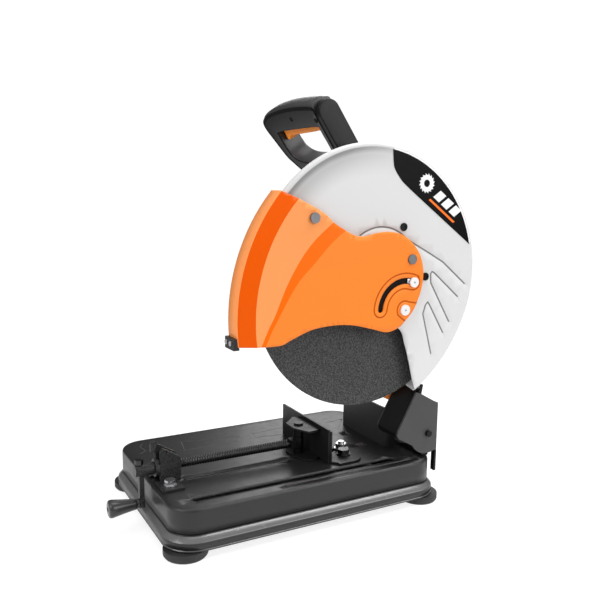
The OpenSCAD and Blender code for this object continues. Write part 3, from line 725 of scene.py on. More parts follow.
# ---------- orange front guard ----------
def front_guard():
    """A pressed cover on its own pivot screw: rim, bevel, a facet, a tapering crescent and a flat; painted
    shade darkens the bevel, the crescent and the grooves, and painted light brightens the facet and the
    rolled rim.
    """
    low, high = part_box("front_guard")
    face_x, back_x = high.x, low.x
    rim_x = face_x - 0.008
    pivot = Vector((143.3, 315.3)) * MM
    rim, bevel = 0.2695, 0.2455
    inner_rim = rim - 0.0008
    slot_radius, slot_half = 0.0437, 0.0047
    slot_start, slot_end = 70, 176
    groove_profile = (0.0006, 0.0015)

    def polar(p):
        d = p - pivot
        return d.length, angle_of(d) % 360

    # (angle, radius in millimetres) about the pivot of the crescent's two edges
    far_edge = curve_through([
        (128, 180.5), (135, 182.4), (150, 191.4), (162, 199.5), (176, 213), (183, 226.5), (190, 243),
    ], 5)
    near_edge = curve_through([
        (126, 158.5), (133, 161.4), (152, 171.5), (164, 187.5), (176, 205), (185, 224.5), (192, 242),
    ], 5)

    def radius_of(edge, angle):
        for a, b in zip(edge, edge[1:]):
            if a.x <= angle <= b.x:
                return (a.y + (b.y - a.y) * (angle - a.x) / (b.x - a.x)) * MM
        return (edge[0].y if angle < edge[0].x else edge[-1].y) * MM

    def height(p):
        r, angle = polar(p)
        if angle < 120 or angle > 230:
            return face_x
        near, far = radius_of(near_edge, angle), radius_of(far_edge, angle)
        dip = 0.13 * (far - near)
        if r <= near:
            return face_x
        if r <= far:
            return face_x - dip * (r - near) / (far - near)
        if r <= bevel:
            return face_x - dip * (bevel - r) / (bevel - far)
        return face_x - 0.0078 * (r - bevel) / (inner_rim - bevel)

    upper_edge = curve_through(mm([
        (-60, 489), (-2, 462), (22, 444), (50, 429), (70, 427), (90, 431), (113, 432.5), (134, 428),
        (154, 415), (169, 396), (176, 372), (174, 348), (168, 330), (159.5, 313.5), (147, 300), (133, 289),
        (112, 284), (85, 291), (50, 299.5), (17, 301.5), (-16, 298), (-47, 287), (-63, 280.5), (-85, 280),
    ]), 8)
    outline = arc(pivot, inner_rim, 187.25, 139.55, 0.5) + resampled(upper_edge, 0.0025)
    first = pivot + slot_radius * heading(slot_start)
    end = pivot + slot_radius * heading(slot_end)
    slot_hole = (
        arc(pivot, slot_radius + slot_half, slot_start, slot_end, 3)[:-1]
        + arc(end, slot_half, slot_end, slot_end + 180, 15)[:-1]
        + arc(pivot, slot_radius - slot_half, slot_end, slot_start, 3)[:-1]
        + arc(first, slot_half, slot_start - 180, slot_start, 15)[:-1]
    )
    far_line = [pivot + r * MM * heading(a) for a, r in far_edge]
    near_line = [pivot + r * MM * heading(a) for a, r in near_edge]
    bevel_line = arc(pivot, bevel, 196, 130, 1)
    around_slot = (
        arc(pivot, slot_radius + 0.0115, 64, 177, 3)
        + arc(end, 0.0115, 180, 350, 12)
        + arc(pivot, slot_radius - 0.0115, 172, 92, 4)
        + arc(first, 0.0115, 255, 420, 12)
    )
    around_pivot = [Vector((165, 324.5)) * MM, *arc(pivot, 0.0135, 60, 215, 8), Vector((146, 297.5)) * MM]
    grooves = [(resampled(line, 0.0012), *groove_profile) for line in (around_slot, around_pivot)]
    pressing = Pressing(outline, [slot_hole], [far_line, near_line, bevel_line], grooves, 0.009)
    bm = pressing.mesh(height)

    looks = ["orange", "orange_bevel_painted_shade", "orange_painted_light", "orange_crescent_painted_shade", "orange_groove_painted_shade"]
    # painted shade on the bevel, the crescent and the grooves, and painted light on the facet between the
    # crescent and the bevel
    for face in bm.faces:
        r, angle = polar(flat_point(face))
        if r > bevel:
            face.material_index = looks.index("orange_bevel_painted_shade")
        elif angle > 126 and r > radius_of(far_edge, angle):
            face.material_index = looks.index("orange_painted_light")
        elif angle > 126 and r > radius_of(near_edge, angle):
            face.material_index = looks.index("orange_crescent_painted_shade")
        elif pressing.in_groove(face, 0.8):
            face.material_index = looks.index("orange_groove_painted_shade")

    def on_rim(co):
        return abs((co.yz - pivot).length - inner_rim) < 2e-5

    def outward(radius, x):
        def step(co):
            p = (co.yz - pivot).normalized() * radius + pivot
            return Vector((x, p.x, p.y))
        return step

    rolled = rim_strips(bm, on_rim, [
        outward(rim - 0.0002, rim_x - 0.0004), outward(rim, rim_x - 0.0011), outward(rim, rim_x - 0.012),
        outward(rim, back_x),
    ])
    # painted light on the rolled rim
    for face in sum(rolled, []):
        face.material_index = looks.index("orange_painted_light")
    obj = sheet_object("front_guard_cover", bm, looks[0], "front_guard", 0.002)
    for look in looks[1:]:
        obj.data.materials.append(LOOKS[look])
    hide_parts("front_guard")

    def slot_band(half, start, stop):
        """An outline along the slot's arc, half as wide on either side."""
        return arc(pivot, slot_radius + half, start, stop, 3) + arc(pivot, slot_radius - half, stop, start, 3)

    # a near black sheet behind the slot: painted shade seen through it
    plate("slot_shade_sheet", "deep_black_and_painted_shade", "front_guard", "black_plastic", side_plane(face_x - 0.0024),
          resampled(slot_band(0.0075, 64, 182), 0.003), 0.0006, 0.0001, 2)
    plate("slot_slider", "zinc", "head", "zinc", side_plane(face_x - 0.0009), slot_band(0.0034, 76, 85),
          0.0012, 0.0004, 3)
    # a cross recess: points at four arms, with the notches between them, in near black: painted shade in the
    # recess
    arms = [
        (90 * arm + turn, reach)
        for arm in range(4)
        for turn, reach in ((0, 0.0022), (20, 0.0008), (45, 0.0007), (70, 0.0008))
    ]
    recess_place = side_plane(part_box("guard_pivots")[1].x + 0.00005)
    for name, centre in (("pivot_recess", pivot), ("stop_recess", first)):
        cross = [centre + reach * heading(angle) for angle, reach in arms]
        plate(name, "deep_black_and_painted_shade", "head", "zinc", recess_place, cross, 0.0003, 0.00004, 1)


def soften(width, names):
    """Small rounded edges on nodes that keep their own shape."""
    for name in names:
        obj = nodes[name]
        weld = obj.modifiers.new("join", "WELD")
        weld.merge_threshold = 0.000002
        bevel = obj.modifiers.new("round", "BEVEL")
        bevel.width = width
        bevel.segments = 3
        bevel.limit_method = "ANGLE"
        bevel.angle_limit = math.radians(32)
        bevel.harden_normals = True


# ---------- silver upper guard, its back and its decal ----------
def rim_circle(p):
    """The centre and radius of the disc guard's rim abreast of a point."""
    d = p - GUARD_CENTRE
    if d.x > 0 and angle_of(d) < TAIL_ANGLE:
        return TAIL_CENTRE, TAIL_RADIUS
    return GUARD_CENTRE, GUARD_RADIUS


def depth_in(p):
    """How far inside the round rim a point is."""
    centre, radius = rim_circle(p)
    return radius - (p - centre).length


def at_depth(depth):
    """Finds the rim vertices of a sheet that ends at a depth inside the round rim."""
    return lambda co: abs(depth_in(co.yz) - depth) < 3e-5


def rim_step(x, drop):
    """Steps a rim vertex to a distance inside the rim, at x."""
    def step(co):
        centre, radius = rim_circle(co.yz)
        p = centre + (co.yz - centre).normalized() * (radius - drop)
        return Vector((x, p.x, p.y))
    return step


def guard_outline(drop):
    """The disc guard's outline: the round rim less drop, and the cut-away underside."""
    under = mm([(20, 335), (90, 297), (139.4, 286.5), (153.7, 258.9), (162.6, 231.3), (169.6, 205.1)])
    rim = arc(TAIL_CENTRE, TAIL_RADIUS - drop, -57.2, -20, 1)[:-1]
    rim += arc(GUARD_CENTRE, GUARD_RADIUS - drop, -20, 183.4, 1)
    front = resampled([rim[-1], under[0], under[1]], 0.006)[1:-1]
    return rim + front + resampled(curve_through([*under[1:], rim[0]], 6), 0.004)[:-1]


def upper_guard():
    """The pressed disc cover: flat face, rolled rim, tapering wall, embossed arc and fingers; painted shade
    on the wall and in the grooves.
    """
    low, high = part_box("upper_guard")
    face_x, back_x = high.x - 0.0008, low.x
    roll = 0.0052

    def height(p):
        d = max(0, depth_in(p))
        if d >= roll:
            return face_x
        return face_x - (roll - math.sqrt(roll ** 2 - (roll - d) ** 2))

    rows = []
    for share in (0.03, 0.12, 0.27, 0.45, 0.68, 1.0):
        rows += arc(TAIL_CENTRE, TAIL_RADIUS - roll * share, -56.5, -20.5, 1)
        rows += arc(GUARD_CENTRE, GUARD_RADIUS - roll * share, -20, 183, 1)
    fingers = [
        [(150, 420.2), (194.5, 397.6), (220.7, 383.7), (267.3, 346.9)],
        [(254.2, 326.9), (206, 366.5), (200.5, 369.5), (197.5, 366), (198.8, 352.1), (238.2, 288)],
        [(227, 271.3), (198, 318), (194, 322.5), (190, 318), (185.7, 304.7), (204.7, 239.7)],
    ]
    lines = [resampled(mm(line), 0.0014) for line in fingers]
    lines.append(arc(Vector((104, 374)) * MM, 0.065, 44, 126, 1))
    grooves = [(line, 0.0011, 0.0016) for line in lines]
    pressing = Pressing(guard_outline(0), grooves=grooves, spacing=0.014)
    bm = pressing.mesh(height, rows)
    looks = ["guard_silver", "guard_groove_painted_shade", "guard_wall_painted_shade"]
    # painted shade: groove faces take the darker copy of the silver
    for face in bm.faces:
        if pressing.in_groove(face, 0.75):
            face.material_index = looks.index("guard_groove_painted_shade")
    strips = rim_strips(bm, at_depth(0), [
        rim_step(face_x - roll - 0.001, 0.0001), rim_step(face_x - roll - 0.004, 0.0015),
        rim_step(back_x, 0.009),
    ])
    # painted shade: the side wall takes the darker copy of the silver
    for face in sum(strips, []):
        face.material_index = looks.index("guard_wall_painted_shade")
    obj = sheet_object("upper_guard_cover", bm, looks[0], "head", 0.0018)
    for look in looks[1:]:
        obj.data.materials.append(LOOKS[look])
    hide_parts("upper_guard")


def guard_back():
    """The dished sheet that closes the disc guard's back, with a hole for the spindle."""
    low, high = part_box("guard_back")
    floor_drop, edge_drop = 0.018, 0.0113
    spindle_hole = arc(SPINDLE, 0.028, 0, 360, 6)[:-1]
    pressing = Pressing(guard_outline(floor_drop), [spindle_hole], spacing=0.02)
    bm = pressing.mesh(lambda p: low.x + 0.002)
    rim_strips(bm, at_depth(floor_drop), [
        rim_step(low.x + 0.0025, floor_drop - 0.0012), rim_step(low.x + 0.004, floor_drop - 0.0022),
        rim_step(high.x, edge_drop),
    ])
    obj = sheet_object("guard_back_pan", bm, "sheet_black", "head", 0.0019)
    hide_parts("guard_back")


def decal():
    """A generic badge: black field, white border, a toothed disc and plain stripes, no lettering."""
    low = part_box("decal_plate")[0]
    radius = 0.187
    chord_start, chord_end = Vector((152, 497)), Vector((275, 409.5))

    def field(margin):
        """The badge's outline, margin inside its edge."""
        line = mm([(122, 553), (124, 529), (129, 519), (138.8, 507.2), chord_start, chord_end])
        line[0] = GUARD_CENTRE + (radius - margin) * heading(80.7)
        line[-1] = GUARD_CENTRE + (radius + 0.002) * heading(12.7)
        chord = resampled(curve_through(line[:4], 4)[:-1] + line[3:], 0.002)
        side = beside(chord, -margin)[::-1] if margin else chord[::-1]
        side = [p for p in side if (p - GUARD_CENTRE).length < radius - margin]
        lower, upper = (angle_of(p - GUARD_CENTRE) for p in (side[0], side[-1]))
        return side + arc(GUARD_CENTRE, radius - margin, upper, lower, 1.5)

    plate("decal_border", "decal_white", "head", "guard_black", side_plane(low.x + 0.00015), field(0.0),
          0.0003, 0.00005, 1)
    black = plate("decal_field", "decal_black", "head", "guard_black", side_plane(low.x + 0.00025),
                  field(0.0022), 0.0003, 0.00005, 1)
    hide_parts("decal_plate")

    along_chord = (chord_end - chord_start).normalized()
    outwards = Vector((-along_chord.y, along_chord.x))
    start = chord_start * MM
    place = side_plane(low.x + 0.00045)
    disc_centre = start + along_chord * 0.022 + outwards * 0.023
    teeth = 16
    ring = []
    for k in range(teeth):
        for share, r in ((0.0, 0.0125), (0.55, 0.0150), (0.6, 0.0125)):
            ring.append(disc_centre + r * heading((k + share) * 360 / teeth))
    plate("decal_disc", "decal_white", "head", "guard_black", place, ring, 0.0002, 0.00004, 1,
          hole=arc(disc_centre, 0.0055, 0, 360, 12)[:-1])

    # name, look, and (along the chord, out from it) in millimetres: where it starts and ends, and its lean
    marks = [
        (f"decal_stripe_{k}", "decal_white", u0, u0 + 14, 14, 30, 6) for k, u0 in enumerate((44, 63, 82))
    ] + [("decal_line", "decal_orange", 40, 100, 5.5, 9, 1.5)]
    for name, look, u0, u1, v0, v1, lean in marks:
        corners = [(u0, v0), (u1, v0), (u1 + lean, v1), (u0 + lean, v1)]
        loop = [start + along_chord * u * MM + outwards * v * MM for u, v in corners]
        plate(name, look, "head", "guard_black", place, loop_of(loop, 0.004), 0.0002, 0.00004, 1)


# ---------- handle ----------
def handle_place(u, v, w):
    """The handle's leaning plane: u across, v up along it, w through its thickness from front to rear."""
    return Vector((u, -0.573576 * v + 0.819152 * w, 0.819152 * v + 0.573576 * w))


def handle():
    """A D-handle: rolled shell, front cover behind a joint, collar, end cap, trigger, screw wells; painted
    light on the shell, collar and trigger, and painted shade in the joints, in the wells and on the end cap.
    """
    front, rear = 0.3633, 0.3990
    outer = curve_through(mm([
        (-40, 372), (-60, 380), (-76, 396), (-87, 410), (-97, 440), (-104, 464), (-101, 478), (-88, 487),
        (-62, 493), (-20, 496.5), (20, 496.5), (60, 493.5), (73.5, 490.5),
    ]), 6) + resampled(mm([(73.5, 490.5), (73.5, 372), (-40, 372)]), 0.01)[1:-1]
    hole = curve_through(mm([
        (64, 440), (64, 452), (61, 456), (0, 457), (-62, 456), (-68, 450), (-68, 425), (-62, 410), (-46, 401),
        (-20, 397), (30, 396), (58, 397), (64, 404), (65, 420),
    ]), 5, closed=True)
    ring = outer if area(outer) > 0 else outer[::-1]
    gap = hole if area(hole) < 0 else hole[::-1]

    def move(loop, distance):
        """Insets, but keeps the end under the cap square."""
        out = []
        for p, q in zip(loop, inset(loop, distance)):
            keep = max(0, min(1, (p.x - 0.058) / 0.012))
            out.append(Vector((q.x + (p.x - q.x) * keep, q.y)) if loop is ring else q)
        return out

    def rims(front_inset, front_depth, rear_inset, rear_depth):
        """(inset, w) round a quarter ellipse at the front and another at the rear."""
        turns = [math.pi / 2 * k / 7 for k in range(8)]
        return [
            (front_inset * (1 - math.sin(a)), front + 0.0006 + front_depth * (1 - math.cos(a))) for a in turns
        ] + [(rear_inset * (1 - math.cos(a)), rear - rear_depth * (1 - math.sin(a))) for a in turns]

    profiles = [rims(0.0075, 0.009, 0.011, 0.016), rims(0.0025, 0.0025, 0.004, 0.004)]
    # the shell in a lighter copy of the handle plastic: painted light along its rolled top
    shell = plate("handle_shell", "handle_painted_light", "head", "black_plastic", handle_place, ring, 0, 0, 1,
                  hole=gap, smooth_angle=50, profiles=profiles, move=move)
    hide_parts("handle_rear")

    def slab(name, look, grow, hole_grow, w0, w1, rounding):
        """A flat ring in the shell's front, from w0 to w1."""
        middle = (w0 + w1) / 2
        return plate(name, look, "head", "black_plastic", lambda u, v, w: handle_place(u, v, middle + w),
                     move(ring, grow), w1 - w0, rounding, 6, hole=inset(gap, hole_grow))

    # a near black ring in the joint round the cover: painted shade in the gap
    slab("handle_joint", "deep_black_and_painted_shade", 0.0038, 0.0005, front + 0.0003, front + 0.0020, 0.0002)
    cover = slab("handle_cover", "handle_plastic", 0.0092, 0.0012, front, front + 0.0009, 0.0003)
    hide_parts("handle_front")

    half, centre = (rear - front) / 2, (front + rear) / 2

    def across(name, look, grow, top, x0, x1, rounding):
        """A slice across the handle's end, from x0 to x1, round at its upper end."""
        middle = (x0 + x1) / 2
        square_end = mm([(top, half / MM), (372, half / MM), (372, -half / MM), (top, -half / MM)])
        loop = arc(Vector((top * MM, 0)), half, -90, 90, 6) + resampled(square_end, 0.01)[1:-1]
        return plate(name, look, "head", "black_plastic",
                     lambda u, v, w: handle_place(middle + w, u, centre + v),
                     inset(loop, -grow), x1 - x0, rounding, 5)

    # the end cap in a darker copy of the handle plastic: painted shade
    cap = across("handle_end_cap", "handle_end", 0, 470, 0.0757, 0.0860, 0.0018)
    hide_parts("handle_cap")
    # a near black ring in the joint behind the end cap: painted shade in the gap
    across("handle_end_joint", "deep_black_and_painted_shade", -0.0012, 470, 0.0730, 0.0760, 0.0002)
    # the collar in the lighter copy of the handle plastic: painted light
    across("handle_collar", "handle_painted_light", 0.0003, 473.5, 0.0650, 0.0732, 0.0016)

    # near black wells: painted shade in the screw holes
    well = [(0, 0.2), (3.4, 0.2), (3.7, 0), (3.9, 0.4), (3.9, 2), (0, 2)]
    for name, x, up, proud in (("screw_well_a", 0.0, 0.475, 0.0005), ("screw_well_b", 0.0688, 0.467, 0.0009)):
        turned(name, "deep_black_and_painted_shade", "head",
               lambda u, v, w: handle_place(x + u, up + v, front - proud + w), well, 32)

    lever = resampled(mm([(-58, 461.4), (-60, 459.5)]), 0.002)[:-1] + curve_through(mm([
        (-60, 459.5), (-63, 452), (-65, 441), (-62, 436.5), (-55, 437.5), (-49, 442), (-36, 443.4),
        (20, 444.4), (65, 446),
    ]), 4) + resampled(mm([(65.6, 446.5), (65.6, 459.5), (64, 461.4), (-58, 461.4)]), 0.008)[:-1]
    # the trigger in a lighter copy of the orange plastic: painted light where it sits in the handle's shade
    trigger = plate("trigger_blade", "trigger_orange_painted_light", "trigger", "orange_plastic",
                    lambda u, v, w: handle_place(u, v, 0.381 + w), lever, 0.018, 0.003)
    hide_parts("trigger")


# ---------- vise screw and crank ----------
def vise_screw():
    """A rolled thread: one V groove winding along the bar, 4 mm a turn."""
    low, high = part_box("vise_screw")
    axis_x, axis_z = (low.x + high.x) / 2, (low.z + high.z) / 2
    radius, pitch, depth = (high.x - low.x) / 2, 0.004, 0.0011
    start, stop = low.y + 0.012, high.y - 0.012
    around, step = 40, 0.0005
    count = round((stop - start) / step)
    bm = bmesh.new()
    rows = []
    for i in range(count + 1):
        y = start + i * step
        row = []
        for k in range(around):
            turn = (y - start) / pitch - k / around
            wave = abs((turn % 1) * 2 - 1)
            fade = min(1, i / 6, (count - i) / 6)
            r = radius - 0.0001 - depth * fade * max(0, min(1, 1.35 * wave - 0.15))
            a = 2 * math.pi * k / around
            row.append(bm.verts.new((axis_x + r * math.cos(a), y, axis_z + r * math.sin(a))))
        rows.append(row)
    for row_a, row_b in zip(rows, rows[1:]):
        for k in range(around):
            j = (k + 1) % around
            bm.faces.new((row_a[k], row_a[j], row_b[j], row_b[k]))
    crank_end = [(0, low.y), (radius, low.y), (radius, start)]
    jaw_end = [
        (radius - 0.0001, stop), (radius - 0.001, stop + 0.002), (0.0045, stop + 0.0025),
        (0.0045, high.y - 0.0008), (0.0038, high.y), (0, high.y),
    ]
    for profile in (crank_end, jaw_end):
        lathe(bm, profile, lambda u, v, w: Vector((axis_x + u, w, axis_z + v)), around)
    obj = new_object("vise_screw_thread", bm, "dark_steel", "screw", 60)
    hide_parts("vise_screw")


def crank_grip():
    """A flared black knob with a ribbed neck."""
    low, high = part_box("crank_grip")
    x, z = (low.x + high.x) / 2, (low.z + high.z) / 2
    profile = [
        (3.6, 0.2), (6.4, 0.0), (7.1, 0.5), (7.2, 2.0), (6.5, 3.0), (6.6, 4.2), (7.9, 5.2), (8.1, 7.0),
        (8.9, 14), (10.2, 23), (11.8, 32), (12.8, 38), (13.0, 40.5), (12.6, 42.5), (11.3, 44.0), (8.5, 44.8),
        (3.8, 45.0), (3.5, 43.5),
    ]
    knob = turned("crank_knob", "gloss_plastic", "grip",
                  lambda u, v, w: Vector((x + u, high.y - w, z + v)), profile, 64, 50)
    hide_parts("crank_grip")


# ---------- the side away from the operator's view: motor and guard back ----------
def motor_details():
    """Cover screws, brush cap slots drawn as near black bars of painted shade, cooling ribs and a blank
    plate, all on the motor.
    """
    low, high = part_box("motor_end_cap")
    axis = (low + high).yz / 2
    screw = [(0, 0.2), (1.4, 0.2), (1.6, 1.2), (3.0, 1.2), (3.4, 0.8), (3.4, -0.6)]
    for k in range(4):
        spot = axis + heading(45 + 90 * k) * 0.0448
        turned(f"cover_screw_{k}", "black_bolt", "head",
               along((low.x, *spot), (-1, 0, 0)), screw, 32)
    rim = [(51.5, -0.6), (51.5, 0.4), (50.9, 1.0), (49.9, 1.0), (49.3, 0.4), (49.3, -0.6)]
    turned("cover_rim", "black_plastic", "head", along((low.x, *axis), (-1, 0, 0)), rim, 96)
    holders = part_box("brush_holders")
    bar = mm([(-5, -0.9), (5, -0.9), (5, 0.9), (-5, 0.9)])
    # painted shade: a flat near black bar stands for each brush cap's slot
    for name, y, side in (("brush_slot_front", holders[0].y, -1), ("brush_slot_rear", holders[1].y, 1)):
        plate(name, "deep_black_and_painted_shade", "head", "black_plastic", along((-0.099, y, axis.y), (0, side, 0)), bar,
              0.0004, 0.00005, 1)
    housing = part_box("motor_housing")
    radius = (housing[1].y - housing[0].y) / 2
    rib = mm([(-1.2, -34), (1.2, -34), (1.2, 34), (-1.2, 34)])
    for k, angle in enumerate((-62, -50, -38, 205, 217, 229)):
        side = heading(angle)
        plate(f"motor_rib_{k}", "orange_plastic", "head", "orange_plastic",
              along((-0.052, *(axis + side * radius)), (0, *side), (1, 0, 0)), rib, 0.0026, 0.0006, 3)
    for name, x0, x1, first, last, lift, look in (
        ("blank_plate", -0.078, -0.026, 32, 62, 0.0005, "guard_silver"),
        ("blank_field", -0.076, -0.028, 34, 60, 0.0007, "deep_black_and_painted_shade"),
    ):
        curved_plate(name, look, axis, radius, (x0, x1), (first, last), lift)


def curved_plate(name, look, axis, radius, ends, angles, lift):
    """A thin plate bent round the motor, between two x and two angles, standing lift off it."""
    bm = bmesh.new()
    sunk, proud = radius - 0.0002, radius + lift
    rows = []
    for k in range(17):
        out = heading(angles[0] + (angles[1] - angles[0]) * k / 16)
        section = ((ends[0], sunk), (ends[0], proud), (ends[1], proud), (ends[1], sunk))
        rows.append([bm.verts.new((x, *(axis + out * r))) for x, r in section])
    for row_a, row_b in zip(rows, rows[1:]):
        for i in range(4):
            bm.faces.new((row_a[i - 1], row_a[i], row_b[i], row_b[i - 1]))
    bm.faces.new(rows[0])
    bm.faces.new(rows[-1])
    new_object(name, bm, look, "head")


def guard_back_beads():
    """Two stiffening rings and four rivets pressed in the guard's inner sheet."""
    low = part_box("guard_back")[0]
    for name, ring in (("back_bead_outer", 0.165), ("back_bead_inner", 0.118)):
        loop = arc(GUARD_CENTRE, ring + 0.0022, 24, 168, 2) + arc(GUARD_CENTRE, ring - 0.0022, 168, 24, 2)
        plate(name, "satin_black", "head", "black_sheet", side_plane(low.x), loop, 0.0024, 0.0010, 4)
    rivet = [(0, 1.6), (2.0, 1.4), (3.4, 0.6), (3.8, -0.4)]
    for k, angle in enumerate((30, 62, 150, 120)):
        spot = GUARD_CENTRE + 0.143 * heading(angle)
        turned(f"back_rivet_{k}", "dark_steel", "head", along((low.x, *spot), (-1, 0, 0)), rivet, 32)


# ---------- base pan, spark chute and jaw ----------
def base_pan():
    """The pressed base: rolled top edge, slots with a bead, raised outlines, and a flared foot with a hem;
    painted shade in the wall's creases and painted highlights on the sloping shoulder, a line in the hem and
    the raised outlines.
    """
    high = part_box("base_pan")[1]
    flare = 0.0073
    corner = 0.038
    cx, cy = high.x - flare - corner, high.y - flare - corner
    top, roll = 0.070, 0.0045

    def corner_centre(co):
        """The nearest point of the rectangle that the corners' centres make."""
        return Vector((max(-cx, min(cx, co.x)), max(-cy, min(cy, co.y))))

    def outwards(distance, z):
        """Steps a rim vertex to a distance outside the pan's wall, at height z."""
        def step(co):
            c = corner_centre(co)
            p = c + (co.xy - c).normalized() * (corner + distance)
            return Vector((p.x, p.y, z))
        return step

    def on_rim(co):
        return abs((co.xy - corner_centre(co)).length - corner + roll) < 3e-5

    def slot(x, y0, y1, width):
        r = width / 2
        return arc(Vector((x, y1 - r)), r, 0, 180, 18) + arc(Vector((x, y0 + r)), r, 180, 360, 18)

    def disc(x, y, r):
        return arc(Vector((x, y)), r, 0, 360, 15)[:-1]

    outline = []
    for k, (sx, sy) in enumerate(((1, 1), (-1, 1), (-1, -1), (1, -1))):
        outline += arc(Vector((sx * cx, sy * cy)), corner - roll, 90 * k, 90 * k + 90, 5)
    holes = [
        slot(0.1168, -0.184, 0.154, 0.0125), slot(0.0455, -0.170, 0.004, 0.006), disc(-0.014, 0.149, 0.003),
        disc(0.0435, 0.134, 0.003), disc(0.061, -0.196, 0.0042), disc(-0.001, -0.196, 0.0042),
        disc(0.072, 0.088, 0.0052), disc(0.050, 0.097, 0.0052), slot(0.1323, -0.045, 0.180, 0.0026),
    ]
    bm = Pressing(loop_of(outline, 0.012), holes, spacing=0.02, facing="z").mesh(lambda p: top)

    turns = [math.radians(15 * k) for k in range(1, 7)]
    profile = [(roll * math.sin(a) - roll, top - roll + roll * math.cos(a)) for a in turns] + [
        (0, 0.050), (0, 0.0352), (-0.0012, 0.0344), (-0.0012, 0.0326), (0.0004, 0.0318), (0.0063, 0.0260),
        (0.0071, 0.0250), (flare, 0.0241), (flare, 0.0162), (0.0060, 0.0156), (0.0060, 0.0146),
        (0.0071, 0.0140), (0.0071, 0.0126), (0.0064, 0.0119),
    ]
    strips = rim_strips(bm, on_rim, [outwards(d, z) for d, z in profile], "z")
    looks = ["base_black", "deep_black_and_painted_shade", "emboss_painted_highlight", "lip_painted_highlight"]
    # painted shade in the wall's creases and under the flare, painted highlight on the sloping shoulder and
    # on a line in the hem
    for look, numbers in (("deep_black_and_painted_shade", (8, 9, 15)), ("lip_painted_highlight", (11, 12, 17))):
        for face in sum((strips[k] for k in numbers), []):
            face.material_index = looks.index(look)
    obj = sheet_object("base_pressing", bm, looks[0], "base", 0.0025)
    for look in looks[1:]:
        obj.data.materials.append(LOOKS[look])
    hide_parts("base_pan")

    on_top = level_plane(top)
    closed_panels = [
        [(-105, -122), (-89, -18), (-67, -33), (-65, -130), (-105, -122)],
        [(-90, 3), (-96, 67), (-63, 50), (-69, 0), (-90, 3)],
    ]
    open_panels = [
        [(-126, -181), (-114, -189), (-91, -186), (-82, -200)],
        [(-83, 147), (-87, 186), (-40, 146)],
    ]
    panels = []
    for line in closed_panels:
        path = resampled(mm(line), 0.006)[:-1]
        path = path if area(path) > 0 else path[::-1]
        panels.append((path, inset(path, 0.0011)))
    for line in open_panels:
        panels.append((strip_along(resampled(mm(line), 0.006), 0.0005, -0.0005), None))
    # the raised outlines are lighter grey: painted highlight along them
    for k, (loop, hole) in enumerate(panels):
        plate(f"panel_line_{k}", "emboss_painted_highlight", "base", "pan_paint", on_top, loop, 0.0005, 0.0002, 2,
              hole=hole)

    bead_x, bead_radius = 0.1166, 0.0078
    path = [
        Vector((bead_x, -0.184)), *arc(Vector((bead_x, -0.1762)), bead_radius, 270, 180, 10),
        *arc(Vector((bead_x, 0.1462)), bead_radius, 180, 90, 10),
    ]
    plate("slot_bead", "bead_black", "base", "pan_paint", on_top, strip_along(path, 0.0009, -0.0009),
          0.0016, 0.0006, 4)
    skirt = mm([(68.5, 200), (129, 200), (129, 213), (68.5, 213)])
    plate("rear_skirt", "satin_black", "base", "black_sheet", level_plane(top + 0.0043), loop_of(skirt, 0.01),
          0.0083, 0.001, 3)
    # a near black sheet standing inside the pan behind the slot: painted shade, so that the floor does not
    # show through the slot
    shade_sheet = mm([(-80, 4), (80, 4), (80, 60), (-80, 60)])
    plate("rear_shade_sheet", "deep_black_and_painted_shade", "base", "pan_paint", lambda u, v, w: Vector((u, 0.2055 + w, v)),
          loop_of(shade_sheet, 0.02), 0.002, 0.0003, 2)


def chute_skin():
    """The bent black sheet between the spark chute's cheeks, the roll along its top, a tab and a flange."""
    line = curve_through(mm([
        (152, 108.2), (147, 110.6), (143.6, 115), (144, 122), (160, 151), (177, 181.5), (181, 186),
        (187, 187),
    ]), 6)
    plate("chute_skin", "satin_black", "head", "black_sheet", side_plane(0.1124),
          strip_along(line, 0.0007, -0.0002), 0.0484, 0.0002, 1, smooth_angle=40)
    roll = [(0, 96), (6.8, 96), (7.5, 96.7), (7.5, 128.5), (6.8, 129.2), (0, 129.2)]
    turned("chute_roll", "satin_black", "head",
           lambda u, v, w: Vector((w, 0.186 + u, 0.1815 + v)), roll)
    tab = mm([(184, 176), (189, 193), (194, 191), (191, 175)])
    plate("chute_tab", "sheet_black", "head", "black_sheet", side_plane(0.1335), loop_of(tab, 0.004),
          0.0025, 0.0004, 2)
    flange = mm([(131.8, 217.4), (140.2, 217.4), (140.2, 221.1), (131.8, 221.1)])
    plate("rear_flange", "satin_black", "head", "black_sheet", level_plane(0.0641), loop_of(flange, 0.002),
          0.0345, 0.0003, 2)


def jaw_barrel():
    """The swivel barrel between the moving jaw's plates, above and below the screw's block."""
    low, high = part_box("jaw_pin")
    x, y = (low.x + high.x) / 2, (low.y + high.y) / 2
    for name, z0, z1 in (("barrel_upper", 99.4, 116.5), ("barrel_lower", 73.8, 80.6)):
        profile = [(5.2, z0), (7.8, z0), (8.2, z0 + 0.4), (8.2, z1 - 0.4), (7.8, z1), (5.2, z1)]
        turned(name, "satin_black", "jaw", lambda u, v, w: Vector((x + u, y + v, w)), profile)


soften(0.0009, ["motor_housing", "motor_end_cap", "gear_housing", "gear_cover", "head_arm"])
soften(0.0005, [
    "pivot_bracket", "spark_chute", "vise_bracket", "swivel_block", "moving_jaw", "fence", "crank_arm",
    "release_lever", "feet", "guard_clip", "handle_mount",
])
soften(0.0004, [
    "vise_bolts", "fence_pivot_bolt", "fence_lock_bolt", "shaft_nuts", "crank_nut", "arm_bolts",
    "pivot_shaft", "guard_screws", "guard_pivots", "guard_discs", "clip_screws", "handle_screws",
    "wheel_bolt",
])
front_guard()
base_pan()
chute_skin()
jaw_barrel()
upper_guard()
guard_back()
decal()
handle()
motor_details()
guard_back_beads()
vise_screw()
crank_grip()


